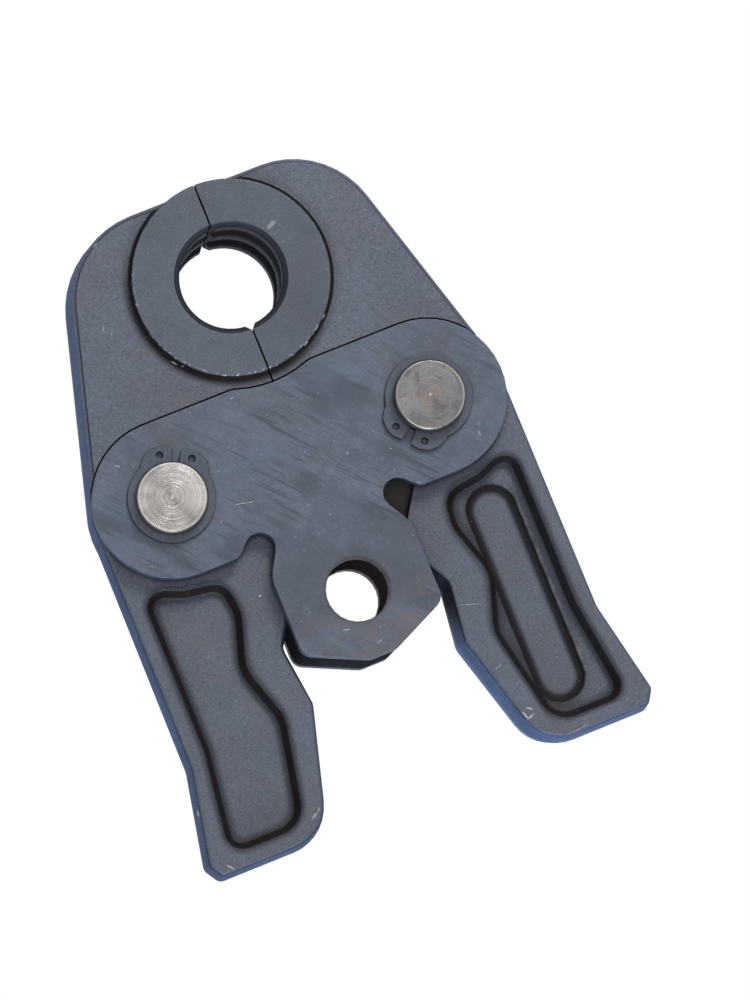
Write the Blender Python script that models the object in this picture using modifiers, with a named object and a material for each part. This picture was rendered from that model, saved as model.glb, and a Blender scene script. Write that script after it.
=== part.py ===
"""Pressing jaw for a pipe fitting press tool.

Two forged arms swing on two pins between a pair of side plates. Each arm carries half of the
round die at its head, and a coil spring between the arms keeps the die shut. The tool's own
pin goes through the hole in the plates' tongue, and its rollers spread the arms' tails.

Metres, +Z up. The jaw lies on its back. The origin is on the rear plate's outer face, in the
middle of the tongue below the tool's hole, and +Y points to the die. Outlines are drawn from
the line through the two pivots.
"""

import math

import bmesh
import bpy
from mathutils import Matrix

# Pivots, plates and play
PIVOT_X = 0.0310
PIVOT_Y = 0.0454
OPEN_ANGLE = 17.0
PLATE_THICKNESS = 0.0048
PLATE_EDGE = 0.0004
SIDE_PLAY = 0.0003
RUNNING_CLEARANCE = 0.0001
SEAT_GAP = 0.0003
STEP_GAP = 0.00035

# Side plate outline
LOBE_RADIUS = 0.0177
LOBE_SIDE = 20.0
SHOULDER_TURN = 19.2
SHOULDER_RADIUS = 0.0055
STEEPEST_SHOULDER = 60.0
HALVINGS = 40
NOTCH_INSET = 0.0003
NOTCH_RISE = 0.0004
NOTCH_RADIUS = 0.0034
NOTCH_LIP_TURN = 45.0
NOTCH_FOOT_TURN = 210.0
NOTCH_LIP_RADIUS = 0.0025
TONGUE_HALF_WIDTH = 0.0169
TONGUE_SHOULDER_RADIUS = 0.0060
TONGUE_CORNER_RADIUS = 0.0030
TONGUE_CHAMFER_DROP = 0.0064
TONGUE_FOOT_HALF_WIDTH = 0.0031
TOOL_HOLE_Y = -0.0341
TOOL_HOLE_RADIUS = 0.00715
TOOL_HOLE_WALL = 0.00835

# Pivot pins and their retaining rings
PIN_RADIUS = 0.0080
PIN_CHAMFER = 0.00035
PIN_STANDOUT = 0.0048
GROOVE_DEPTH = 0.0004
RING_THICKNESS = 0.0010
RING_LIFT = 0.00025
RING_END_PLAY = 0.0001
RING_WIDTH = 0.00215
RING_BODY_TURN = 50.0
LUG_EDGE = ((5.7, 0.0), (5.7, 0.00370), (16.0, 0.00425), (27.0, 0.00425), (38.0, 0.00374), (47.0, 0.00270))
LUG_HOLE_TURN = 21.0
LUG_HOLE_RADIUS = 0.00085
LUG_HOLE_WIDTH = 0.00235
FRONT_RING_TURNS = {"left": 62.5, "right": 221.4}
REAR_RING_TURNS = {"left": 118.0, "right": 301.0}

# Die
DIE_Y = 0.0412
DIE_RADIUS = 0.0114
DIE_MOUTH = 0.00126
DIE_GROOVE = 0.0012
DIE_LAND_WIDTH = 0.0040
DIE_RIB_HALF_WIDTH = 0.0030
DIE_GROOVE_FLANK = 0.0014
LAND_FLANK = ((0.0, 0.0), (0.4, 0.7), (1.0, 1.0))
RIB_FLANK = ((2.0, 1.0), (1.0, 0.6), (0.0, 0.15))
RELIEF_DEPTH = 0.0013
RELIEF_HALF_WIDTH = 0.0010
BOSS_RADIUS = 0.0223
BOSS_RISE = 0.0015
BOSS_LAND = 0.00255
BOSS_EDGE = 0.0002
BOSS_FILLET = 0.00125

# Forged arms, with x measured from the pivot axis, outward positive
HUB_THICKNESS = 0.0228
HEAD_SHORT_OF_PLATE = 0.0002
SPLIT_GAP = 0.0004
HEAD_CROWN = 0.0224
FORGED_EDGE = 0.0009
DRAFT = 0.069
HEAD_CORNER = (0.0011, 0.0216)
OUTER_SIDE = ((0.0186, 0.0020, 0.0080), (0.0188, -0.0571, 0.0060), (0.0233, -0.0789, 0.0020),
              (0.0210, -0.0827, 0.0020))
CAM_SIDE = ((-0.0052, -0.0827, 0.0109), (-0.0134, -0.0538, 0.0035), (-0.0117, -0.0398, 0.0030),
            (-0.0150, -0.0346, 0.0030))
KNUCKLE = (-0.0214, -0.0272, 0.0018)
CROTCH_Y = 0.0077
CROTCH_FILLET = 0.0040
WAIST_FILLET = 0.0020

# Pockets in the arms' tails
POCKET = ((0.0145, -0.0173, 0.0040), (0.0090, -0.0173, 0.0030), (0.0045, -0.0192, 0.0040),
          (-0.0050, -0.0206, 0.0050), (-0.0060, -0.0290, 0.0080), (-0.0021, -0.0410, 0.0080),
          (-0.0063, -0.0540, 0.0090), (-0.0012, -0.0787, 0.0070), (0.0179, -0.0787, 0.0045),
          (0.0145, -0.0545, 0.0080))
POCKET_DEPTH = 0.0032
POCKET_RIM = 0.0008
POCKET_FILLET = 0.0015
POCKET_SLOPE = 65.0
PANEL_X = 0.0046
PANEL_HALF_WIDTH = 0.00575
PANEL_TOP = -0.0225
PANEL_BOTTOM = -0.0743
PANEL_DEPTH = 0.0012
PANEL_FILLET = 0.0014
PANEL_SLOPE = 60.0
KNUCKLE_STEP = 0.0044
STEP_TOP = (-0.0068, -0.0120, 0.0020)
STEP_FOOT = (-0.0195, -0.0317, 0.0)

# Spring
SPRING_Y = -0.0110
SPRING_RADIUS = 0.0047
SPRING_WIRE = 0.0024
SPRING_TURNS = 4
COIL_PITCH = 0.00255
COIL_ROOM = 0.0009
COIL_STEPS = 14

# Facets and cutters
CHORD_ERROR = 0.00006
OVERRUN = 0.0020
SKIN = 0.00003
SAME_POINT = 0.000002
SAME_LEVEL = 0.000005
WELD = 0.00001
SHORTEST_EDGE = 0.00002
FLAT_ANGLE = 0.1
SMOOTH_ANGLE = 30.0
CORNER_ANGLE = 45.0
EDGE_STEPS = 3
FILLET_STEPS = 2
BORE_STEPS = 52
BOSS_STEPS = 64
PIN_STEPS = 40

# Finishes: base colour, roughness, metallic
FORGED_STEEL = ((0.085, 0.095, 0.115), 0.55, 0.7)
PLATE_STEEL = ((0.090, 0.102, 0.125), 0.45, 0.75)
RING_STEEL = ((0.050, 0.055, 0.065), 0.5, 0.7)
PIN_STEEL = ((0.42, 0.40, 0.37), 0.32, 1.0)
SPRING_STEEL = ((0.16, 0.16, 0.17), 0.35, 0.9)

MID_Z = PLATE_THICKNESS + SIDE_PLAY + HUB_THICKNESS / 2
HUB_HALF = HUB_THICKNESS / 2
HEAD_HALF = MID_Z - HEAD_SHORT_OF_PLATE
BOSS_HALF = HEAD_HALF + BOSS_RISE
PIN_HALF = MID_Z + PIN_STANDOUT
DIP_RADIUS = BOSS_RADIUS + BOSS_LAND + STEP_GAP
BORE_RADIUS = PIN_RADIUS + RUNNING_CLEARANCE
COIL_OUTER = SPRING_RADIUS + SPRING_WIRE / 2
TONGUE_END = TOOL_HOLE_Y - TOOL_HOLE_RADIUS - TOOL_HOLE_WALL


def arc_steps(radius, span):
    """Number of chords that keep an arc within the chord error."""
    step = 2 * math.acos(1 - CHORD_ERROR / max(radius, CHORD_ERROR * 2))
    return max(2, math.ceil(abs(span) / step))


def polar(centre, radius, angle):
    """Point at an angle in degrees around a centre."""
    turn = math.radians(angle)
    return (centre[0] + radius * math.cos(turn), centre[1] + radius * math.sin(turn))


def arc(centre, radius, start, end):
    """Points along an arc between two angles in degrees."""
    count = arc_steps(radius, math.radians(end - start))
    return [polar(centre, radius, start + (end - start) * i / count) for i in range(count + 1)]


def circle(centre, radius):
    """Closed ring of points."""
    return arc(centre, radius, 0.0, 360.0)[:-1]


def rounded(corners, closed=True):
    """Outline through (x, y, radius) corners, each turned by a tangent arc."""
    points = []
    count = len(corners)
    for i, (x, y, radius) in enumerate(corners):
        inner = closed or 0 < i < count - 1
        if radius == 0 or not inner:
            points.append((x, y))
            continue
        before = corners[i - 1]
        after = corners[(i + 1) % count]
        a_in = math.atan2(y - before[1], x - before[0])
        a_out = math.atan2(after[1] - y, after[0] - x)
        turn = (a_out - a_in + math.pi) % (2 * math.pi) - math.pi
        reach = radius * math.tan(abs(turn) / 2)
        side = math.copysign(1.0, turn)
        start = (x - reach * math.cos(a_in), y - reach * math.sin(a_in))
        centre = (start[0] - side * radius * math.sin(a_in), start[1] + side * radius * math.cos(a_in))
        first = math.degrees(a_in) - side * 90.0
        points += arc(centre, radius, first, first + math.degrees(turn))
    return points


def mirrored(points):
    """The same path on the other side of the jaw's mid-plane, run backwards."""
    return [(-x, y) for x, y in reversed(points)]


def distinct(points):
    """The same closed outline without points that repeat their neighbour."""
    return [point for i, point in enumerate(points) if math.dist(point, points[i - 1]) > SAME_POINT]


def tangent_angle(first, first_radius, second, second_radius):
    """Angle in degrees at which two circles' upper common tangent touches both."""
    lean = math.atan2(second[1] - first[1], second[0] - first[0])
    spread = math.acos((first_radius - second_radius) / math.dist(first, second))
    return math.degrees(lean + spread)


def shoulder_place():
    """Centre of the plates' shoulder, how far it leans off the dip's foot, and its upper tangent's angle."""
    low = 0.0
    high = STEEPEST_SHOULDER
    for _ in range(HALVINGS):
        lean = (low + high) / 2
        centre = polar((0.0, DIE_Y), DIP_RADIUS + SHOULDER_RADIUS, lean - 90.0)
        top = tangent_angle(centre, SHOULDER_RADIUS, (PIVOT_X, 0.0), LOBE_RADIUS)
        if 90.0 + lean - top < SHOULDER_TURN:
            low = lean
        else:
            high = lean
    return centre, lean, top


def crown_edge(gap):
    """Right half of the plates' upper edge, grown by a gap, from the mid-plane to the lobe's side."""
    shoulder, lean, top = shoulder_place()
    path = arc((0.0, DIE_Y), DIP_RADIUS - gap, -90.0, lean - 90.0)
    path += arc(shoulder, SHOULDER_RADIUS + gap, lean + 90.0, top)
    path += arc((PIVOT_X, 0.0), LOBE_RADIUS + gap, top, LOBE_SIDE)
    return path


def plate_outline():
    """Closed outline of a side plate: two lobes, a dip under the die and a tongue with a chamfered end."""
    notch = (TONGUE_HALF_WIDTH - NOTCH_INSET, NOTCH_RISE - LOBE_RADIUS)
    lip = polar(notch, NOTCH_RADIUS, NOTCH_LIP_TURN)
    lip_x = lip[0] + (lip[1] + LOBE_RADIUS) * math.tan(math.radians(NOTCH_LIP_TURN))
    inner = polar(notch, NOTCH_RADIUS, NOTCH_FOOT_TURN)
    shoulder_y = inner[1] - (TONGUE_HALF_WIDTH - inner[0]) / math.tan(math.radians(NOTCH_FOOT_TURN))
    half = crown_edge(0.0)
    half += arc((PIVOT_X, 0.0), LOBE_RADIUS, LOBE_SIDE, -90.0)[1:]
    half += rounded([(PIVOT_X, -LOBE_RADIUS, 0), (lip_x, -LOBE_RADIUS, NOTCH_LIP_RADIUS), (*lip, 0)],
                    closed=False)[1:-1]
    half += arc(notch, NOTCH_RADIUS, NOTCH_LIP_TURN, NOTCH_FOOT_TURN)
    half += rounded([(*inner, 0), (TONGUE_HALF_WIDTH, shoulder_y, TONGUE_SHOULDER_RADIUS),
                     (TONGUE_HALF_WIDTH, TONGUE_END + TONGUE_CHAMFER_DROP, TONGUE_CORNER_RADIUS),
                     (TONGUE_FOOT_HALF_WIDTH, TONGUE_END, TONGUE_CORNER_RADIUS),
                     (0.0, TONGUE_END, 0)], closed=False)[1:-1]
    return half + mirrored(half[1:])


def arm_outline():
    """Right arm's outline at its parting line, from the pivot axis, counter-clockwise."""
    swing = math.radians(OPEN_ANGLE)
    coil_x = PIVOT_X * (1 - math.cos(swing)) - SPRING_Y * math.sin(swing)
    coil_y = SPRING_Y * math.cos(swing) - PIVOT_X * math.sin(swing)
    waist_x = coil_x + COIL_OUTER + COIL_ROOM - PIVOT_X
    past_split = -PIVOT_X - 2 * OVERRUN
    crown_y = DIE_Y + HEAD_CROWN
    corners = [(past_split, crown_y, 0)]
    corners += [(past_split, CROTCH_Y, 0)]
    corners += [(COIL_OUTER + COIL_ROOM - PIVOT_X, SPRING_Y + COIL_OUTER, CROTCH_FILLET)]
    corners += [(waist_x, coil_y + COIL_OUTER / 2, WAIST_FILLET)]
    corners += [(waist_x, coil_y - COIL_OUTER / 2, WAIST_FILLET)]
    corners += [KNUCKLE]
    corners += reversed(CAM_SIDE)
    corners += reversed(OUTER_SIDE)
    corners += [(HEAD_CORNER[0], crown_y, HEAD_CORNER[1])]
    return rounded(corners)


def step_outline():
    """Area around the hub and the tail where the head's extra thickness is cut away."""
    edge = [(x - PIVOT_X, y) for x, y in crown_edge(STEP_GAP)]
    far = 2 * PIVOT_X
    foot = OUTER_SIDE[-1][1] - far
    return [(-far, edge[0][1]), (-far, foot), (far, foot), (far, edge[-1][1])] + edge[::-1]


def collection(name):
    """New collection linked to the scene."""
    group = bpy.data.collections.new(name)
    bpy.context.scene.collection.children.link(group)
    return group


def principled(name, colour, roughness, metallic):
    """Material with one Principled BSDF."""
    material = bpy.data.materials.new(name)
    material.use_nodes = True
    shader = material.node_tree.nodes["Principled BSDF"]
    shader.inputs["Base Color"].default_value = (*colour, 1.0)
    shader.inputs["Roughness"].default_value = roughness
    shader.inputs["Metallic"].default_value = metallic
    return material


def add_object(name, data, group, material=None):
    """New object in a collection."""
    thing = bpy.data.objects.new(name, data)
    group.objects.link(thing)
    if material is not None:
        if data.materials:
            data.materials[0] = material
        else:
            data.materials.append(material)
    return thing


def add_cutter(name, data, group):
    """Object that only shapes others."""
    cutter = add_object(name, data, group)
    cutter.hide_render = True
    cutter.display_type = "WIRE"
    return cutter


def baked(thing):
    """Mesh of an object with its modifiers applied, in its own coordinates."""
    bpy.context.view_layer.update()
    graph = bpy.context.evaluated_depsgraph_get()
    return bpy.data.meshes.new_from_object(thing.evaluated_get(graph))


def edited(mesh, work):
    """Mesh after a bmesh operation on it."""
    bm = bmesh.new()
    bm.from_mesh(mesh)
    work(bm)
    bm.to_mesh(mesh)
    bm.free()
    return mesh


def layered_mesh(name, outline, height, layers):
    """Solid on an outline: a straight wall, then layers of (inset, rise)."""
    bm = bmesh.new()
    face = bm.faces.new([bm.verts.new((x, y, 0.0)) for x, y in distinct(outline)])
    face.normal_update()
    if face.normal.z < 0:
        face.normal_flip()
    grown = bmesh.ops.extrude_face_region(bm, geom=[face])["geom"]
    top = next(item for item in grown if isinstance(item, bmesh.types.BMFace))
    bmesh.ops.translate(bm, verts=top.verts, vec=(0.0, 0.0, height))
    for inset, rise in layers:
        bmesh.ops.inset_region(bm, faces=[top], use_boundary=True, use_even_offset=True,
                               thickness=inset, depth=rise)
    bmesh.ops.recalc_face_normals(bm, faces=bm.faces)
    mesh = bpy.data.meshes.new(name)
    bm.to_mesh(mesh)
    bm.free()
    return mesh


def rounding(radius, sweep, steps, concave):
    """(inset, rise) layers of a rounded edge that sweeps through an angle in degrees."""
    angles = [math.radians(sweep) * i / steps for i in range(steps + 1)]
    if concave:
        angles = angles[::-1]
    sines = [radius * math.sin(a) for a in angles]
    cosines = [radius * math.cos(a) for a in angles]
    return [(abs(sines[i + 1] - sines[i]), abs(cosines[i + 1] - cosines[i])) for i in range(steps)]


def turned_mesh(name, profile, steps, group):
    """Closed body of revolution about Z from a (radius, z) profile, top to bottom."""
    bm = bmesh.new()
    verts = [bm.verts.new((radius, 0.0, z)) for radius, z in profile]
    for first, second in zip(verts, verts[1:]):
        bm.edges.new((first, second))
    line = bpy.data.meshes.new(name + "_profile")
    bm.to_mesh(line)
    bm.free()
    lathe = add_object(name + "_lathe", line, group)
    screw = lathe.modifiers.new("Screw", "SCREW")
    screw.steps = steps
    screw.render_steps = steps
    screw.use_merge_vertices = True
    screw.merge_threshold = WELD
    mesh = baked(lathe)
    bpy.data.objects.remove(lathe, do_unlink=True)
    mesh.name = name
    return edited(mesh, join_flat_facets)


def join_flat_facets(bm):
    """Flat ends as one face each, in place of a fan."""
    bmesh.ops.dissolve_limit(bm, angle_limit=math.radians(FLAT_ANGLE), verts=bm.verts, edges=bm.edges)


def flat_curve(name, outlines, thickness):
    """Flat plate as a filled 2D curve; outlines after the first are holes."""
    curve = bpy.data.curves.new(name, "CURVE")
    curve.dimensions = "2D"
    curve.fill_mode = "BOTH"
    curve.extrude = thickness / 2
    for outline in map(distinct, outlines):
        spline = curve.splines.new("POLY")
        spline.points.add(len(outline) - 1)
        for point, (x, y) in zip(spline.points, outline):
            point.co = (x, y, 0.0, 1.0)
        spline.use_cyclic_u = True
    return curve


def cut(thing, cutter, operation="DIFFERENCE"):
    """Boolean modifier."""
    modifier = thing.modifiers.new(cutter.name, "BOOLEAN")
    modifier.operation = operation
    modifier.object = cutter


def smooth(mesh):
    """Smooth shading, with sharp edges kept."""
    mesh.shade_smooth()
    mesh.set_sharp_from_angle(angle=math.radians(SMOOTH_ANGLE))


def forged_blank(cutters):
    """Arm as forged and faced: full thickness at the head, thinner and rounded at the hub and tail."""
    wall = HEAD_HALF - FORGED_EDGE
    layers = [(DRAFT * wall, wall)] + rounding(FORGED_EDGE, 90, EDGE_STEPS, False)
    half = edited(layered_mesh("forging", arm_outline(), 0.0, layers), open_parting_face)
    blank = add_cutter("forging", half, cutters)
    mirror = blank.modifiers.new("Mirror", "MIRROR")
    mirror.use_axis = (False, False, True)
    mirror.merge_threshold = WELD
    facing = layered_mesh("facing", step_outline(), HEAD_HALF, [])
    for side in (1, -1):
        mill = add_cutter("facing", facing, cutters)
        mill.location.z = HUB_HALF if side > 0 else -HUB_HALF - HEAD_HALF
        cut(blank, mill)
    return edited(baked(blank), round_hub_rims)


def open_parting_face(bm):
    """Half of the forging without the face on its parting plane."""
    floor = [face for face in bm.faces if all(abs(vert.co.z) < SAME_LEVEL for vert in face.verts)]
    bmesh.ops.delete(bm, geom=floor, context="FACES")


def round_hub_rims(bm):
    """Rounded outer edges of the hub and tail, like the head's."""
    bmesh.ops.dissolve_degenerate(bm, dist=SAME_POINT, edges=bm.edges)
    rims = []
    for edge in bm.edges:
        on_face = all(abs(abs(vert.co.z) - HUB_HALF) < SAME_LEVEL for vert in edge.verts)
        if on_face and edge.is_manifold and edge.calc_face_angle_signed() > math.radians(CORNER_ANGLE):
            rims.append(edge)
    bmesh.ops.bevel(bm, geom=rims, offset=FORGED_EDGE, segments=EDGE_STEPS, profile=0.5, affect="EDGES")


def boss_mesh(cutters):
    """Turned die boss, full length, with a fillet at its foot on both faces of the head."""
    foot = (BOSS_RADIUS + BOSS_FILLET, HEAD_HALF - SKIN + BOSS_FILLET)
    half = [(0.0, BOSS_HALF), (BOSS_RADIUS - BOSS_EDGE, BOSS_HALF), (BOSS_RADIUS, BOSS_HALF - BOSS_EDGE)]
    half += arc(foot, BOSS_FILLET, 180.0, 270.0)
    half += [(BOSS_RADIUS + BOSS_FILLET, HEAD_HALF - BOSS_EDGE * 2), (BOSS_RADIUS, HEAD_HALF - BOSS_FILLET)]
    return turned_mesh("boss", half + [(r, -z) for r, z in reversed(half)], BOSS_STEPS, cutters)


def boss_trim_mesh(cutters):
    """Body about the die's axis that keeps the foot's fillet on the head's face, short of its crown."""
    wide = 2 * BOSS_RADIUS
    flat = HEAD_CROWN - DRAFT * HEAD_HALF - FORGED_EDGE
    length = 2 * (BOSS_HALF + OVERRUN)
    below = [(-wide, -wide), (wide, -wide), (wide, flat), (-wide, flat)]
    around = circle((0.0, 0.0), BOSS_RADIUS + CHORD_ERROR + SKIN)
    trim = add_cutter("boss_trim", layered_mesh("boss_trim", below, length, []), cutters)
    wall = add_cutter("boss_wall", layered_mesh("boss_wall", around, length, []), cutters)
    cut(trim, wall, "UNION")
    return baked(trim)


def die_bore_mesh(cutters):
    """Pressing contour as a turned cutter: mouth, land, groove, middle rib, and the same again."""
    land_end = BOSS_HALF - DIE_MOUTH - DIE_LAND_WIDTH
    half = [(0.0, BOSS_HALF + OVERRUN), (DIE_RADIUS + DIE_MOUTH + OVERRUN, BOSS_HALF + OVERRUN)]
    half += [(DIE_RADIUS, BOSS_HALF - DIE_MOUTH)]
    for start, sign, flank in ((land_end, -1, LAND_FLANK), (DIE_RIB_HALF_WIDTH, 1, RIB_FLANK)):
        for along, depth in flank:
            half.append((DIE_RADIUS + DIE_GROOVE * depth, start + sign * DIE_GROOVE_FLANK * along))
    half += [(DIE_RADIUS, DIE_RIB_HALF_WIDTH / 2)]
    return turned_mesh("die_bore", half + [(r, -z) for r, z in reversed(half)], BORE_STEPS, cutters)


def relief_mesh():
    """Wedge that opens the die's bore at the split, so that a fitting isn't pinched there."""
    inside = DIE_RADIUS - OVERRUN
    apex = DIE_RADIUS + RELIEF_DEPTH
    flare = RELIEF_HALF_WIDTH * (apex - inside) / RELIEF_DEPTH
    outline = [(-flare, inside), (flare, inside), (0.0, apex)]
    return layered_mesh("split_relief", outline, 2 * (BOSS_HALF + OVERRUN), [])


def pocket_mesh():
    """Cutter for a forged pocket: rounded rim, sloping wall and filleted floor."""
    sweep = math.radians(POCKET_SLOPE)
    wall = POCKET_DEPTH - (POCKET_RIM + POCKET_FILLET) * (1 - math.cos(sweep))
    layers = rounding(POCKET_RIM, POCKET_SLOPE, FILLET_STEPS, False)
    layers += [(wall / math.tan(sweep), wall)]
    layers += rounding(POCKET_FILLET, POCKET_SLOPE, FILLET_STEPS, True)
    return layered_mesh("pocket", rounded(POCKET), OVERRUN + SKIN, layers)


def panel_mesh():
    """Cutter for the long round-ended recess in a pocket's floor."""
    top = (PANEL_X, PANEL_TOP - PANEL_HALF_WIDTH)
    bottom = (PANEL_X, PANEL_BOTTOM + PANEL_HALF_WIDTH)
    outline = arc(top, PANEL_HALF_WIDTH, 0.0, 180.0) + arc(bottom, PANEL_HALF_WIDTH, 180.0, 360.0)
    sweep = math.radians(PANEL_SLOPE)
    wall = PANEL_DEPTH - PANEL_FILLET * (1 - math.cos(sweep))
    layers = [(wall / math.tan(sweep), wall)] + rounding(PANEL_FILLET, PANEL_SLOPE, FILLET_STEPS, True)
    return layered_mesh("panel", outline, OVERRUN + SKIN, layers)


def knuckle_step_mesh():
    """Cutter that thins the arm's inner knuckle on one face."""
    corners = [STEP_TOP, (-PIVOT_X, STEP_TOP[1], 0.0), (-PIVOT_X, STEP_FOOT[1] - OVERRUN, 0.0), STEP_FOOT]
    return layered_mesh("knuckle_step", rounded(corners), KNUCKLE_STEP + OVERRUN, [])


def arm_mesh(cutters):
    """Finished arm about its pivot axis: the right one as seen from the front."""
    body = add_cutter("arm_body", forged_blank(cutters), cutters)
    boss = add_cutter("boss", boss_mesh(cutters), cutters)
    boss.location = (-PIVOT_X, DIE_Y, 0.0)
    trim = add_cutter("boss_trim", boss_trim_mesh(cutters), cutters)
    trim.location = (-PIVOT_X, DIE_Y, -BOSS_HALF - OVERRUN)
    cut(boss, trim, "INTERSECT")
    cut(body, boss, "UNION")

    reach = 2 * PIVOT_X
    split_x = SPLIT_GAP / 2 - PIVOT_X
    far_x = split_x - reach
    past = [(far_x, -reach), (split_x, -reach), (split_x, 2 * reach), (far_x, 2 * reach)]
    split = add_cutter("split", layered_mesh("split", past, 2 * (BOSS_HALF + OVERRUN), []), cutters)
    split.location.z = -BOSS_HALF - OVERRUN
    cut(body, split)
    bore = add_cutter("die_bore", die_bore_mesh(cutters), cutters)
    bore.location = (split_x, DIE_Y, 0.0)
    bore.rotation_euler.z = math.pi / BORE_STEPS
    cut(body, bore)
    for turn in (0.0, math.pi):
        relief = add_cutter("split_relief", relief_mesh(), cutters)
        relief.rotation_euler.z = turn
        relief.location = (split_x - SKIN, DIE_Y, -BOSS_HALF - OVERRUN)
        cut(body, relief)
    length = 2 * (HUB_HALF + OVERRUN)
    hole = layered_mesh("pivot_bore", circle((0.0, 0.0), BORE_RADIUS), length, [])
    pivot = add_cutter("pivot_bore", hole, cutters)
    pivot.location.z = -length / 2
    cut(body, pivot)

    for name, mesh, face, up in (("front_pocket", pocket_mesh(), HUB_HALF, True),
                                 ("rear_pocket", pocket_mesh(), HUB_HALF, False),
                                 ("panel", panel_mesh(), HUB_HALF - POCKET_DEPTH - SKIN, True),
                                 ("knuckle_step", knuckle_step_mesh(), HUB_HALF, True)):
        tool = add_cutter(name, mesh, cutters)
        if up:
            flip(mesh)
            tool.location.z = face + OVERRUN
        else:
            tool.location.z = -face - OVERRUN
        cut(body, tool)
    return edited(baked(body), collapse_slivers)


def collapse_slivers(bm):
    """Collapse the shortest edges that cutting leaves."""
    bmesh.ops.dissolve_degenerate(bm, dist=SHORTEST_EDGE, edges=bm.edges)


def flip(mesh):
    """Turn a cutter over, so that it goes down into a face instead of up."""
    mesh.transform(Matrix.Scale(-1.0, 4, (0, 0, 1)))
    mesh.flip_normals()


def make_arms(parts, cutters, steel):
    """Two equal forgings, the left one turned over about the jaw's long axis."""
    mesh = arm_mesh(cutters)
    smooth(mesh)
    for name, x, turn in (("right", PIVOT_X, 0.0), ("left", -PIVOT_X, math.pi)):
        pivot = bpy.data.objects.new(name + "_pivot", None)
        parts.objects.link(pivot)
        pivot.location = (x, PIVOT_Y, MID_Z)
        pivot.rotation_euler = (0.0, turn, 0.0)
        arm = add_object(name + "_jaw_arm", mesh, parts, steel)
        arm.parent = pivot


def make_plates(parts, steel):
    """Front and rear side plates with pin holes and the tool's hole."""
    outlines = [plate_outline()]
    outlines += [circle((side * PIVOT_X, 0.0), BORE_RADIUS) for side in (-1, 1)]
    outlines.append(circle((0.0, TOOL_HOLE_Y), TOOL_HOLE_RADIUS))
    for name, z in (("front", 2 * MID_Z - PLATE_THICKNESS / 2), ("rear", PLATE_THICKNESS / 2)):
        label = name + "_side_plate"
        plate = add_object(label, flat_curve(label, outlines, PLATE_THICKNESS), parts, steel)
        plate.location = (0.0, PIVOT_Y, z)
        weld = plate.modifiers.new("Weld", "WELD")
        weld.merge_threshold = WELD
        edge = plate.modifiers.new("Bevel", "BEVEL")
        edge.width = PLATE_EDGE
        edge.segments = 1
        edge.limit_method = "ANGLE"
        edge.angle_limit = math.radians(CORNER_ANGLE)


def make_pins(parts, cutters, steel):
    """Pivot pins, turned, with a ring groove outside each plate."""
    groove_in = MID_Z + RING_LIFT - RING_END_PLAY
    groove_out = MID_Z + RING_LIFT + RING_THICKNESS + RING_END_PLAY
    half = [(0.0, PIN_HALF), (PIN_RADIUS - PIN_CHAMFER, PIN_HALF), (PIN_RADIUS, PIN_HALF - PIN_CHAMFER)]
    half += [(PIN_RADIUS, groove_out), (PIN_RADIUS - GROOVE_DEPTH, groove_out)]
    half += [(PIN_RADIUS - GROOVE_DEPTH, groove_in), (PIN_RADIUS, groove_in)]
    mesh = turned_mesh("pivot_pin", half + [(r, -z) for r, z in reversed(half)], PIN_STEPS, cutters)
    smooth(mesh)
    for name, side in (("left", -1), ("right", 1)):
        pin = add_object(name + "_pivot_pin", mesh, parts, steel)
        pin.location = (side * PIVOT_X, PIVOT_Y, MID_Z)


def ring_outlines():
    """External retaining ring with its gap at angle zero and a plier hole in each lug."""
    inner = PIN_RADIUS - GROOVE_DEPTH + RUNNING_CLEARANCE
    centre = (0.0, 0.0)
    half = [polar(centre, inner + width, turn) for turn, width in LUG_EDGE]
    half += arc(centre, inner + RING_WIDTH, RING_BODY_TURN, 180.0)
    inside = arc(centre, inner, 180.0, LUG_EDGE[0][0])[:-1]
    lower = [(x, -y) for x, y in reversed(half[:-1])]
    lower_inside = [(x, -y) for x, y in reversed(inside[1:])]
    hole = inner + LUG_HOLE_WIDTH
    turns = (LUG_HOLE_TURN, -LUG_HOLE_TURN)
    holes = [circle(polar(centre, hole, turn), LUG_HOLE_RADIUS) for turn in turns]
    return [half + lower + lower_inside + inside] + holes


def make_rings(parts, steel):
    """A retaining ring in each pin groove."""
    offset = MID_Z + RING_LIFT + RING_THICKNESS / 2
    for face, sign, turns in (("front", 1, FRONT_RING_TURNS), ("rear", -1, REAR_RING_TURNS)):
        for name, side in (("left", -1), ("right", 1)):
            label = face + "_" + name + "_retaining_ring"
            ring = add_object(label, flat_curve(label, ring_outlines(), RING_THICKNESS), parts, steel)
            ring.location = (side * PIVOT_X, PIVOT_Y, MID_Z + sign * offset)
            ring.rotation_euler.z = math.radians(turns[name])
            weld = ring.modifiers.new("Weld", "WELD")
            weld.merge_threshold = WELD


def spring_route():
    """Wire centre line: rear leg, clockwise coil rising towards the front, front leg."""
    tip = (PIVOT_X + KNUCKLE[0] - SEAT_GAP - SPRING_WIRE / 2, KNUCKLE[1])
    centre = (0.0, SPRING_Y)
    reach = math.hypot(tip[0] - centre[0], tip[1] - centre[1])
    leave = math.degrees(math.atan2(tip[1] - centre[1], tip[0]) + math.acos(SPRING_RADIUS / reach))
    sweep = 180.0 - 2 * leave + 360.0 * SPRING_TURNS
    rise = COIL_PITCH * sweep / 360.0
    steps = COIL_STEPS * SPRING_TURNS
    points = [(-tip[0], tip[1], -rise / 2)]
    for i in range(steps + 1):
        x, y = polar(centre, SPRING_RADIUS, 180.0 - leave - sweep * i / steps)
        points.append((x, y, rise * (i / steps - 0.5)))
    points.append((tip[0], tip[1], rise / 2))
    return points


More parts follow.
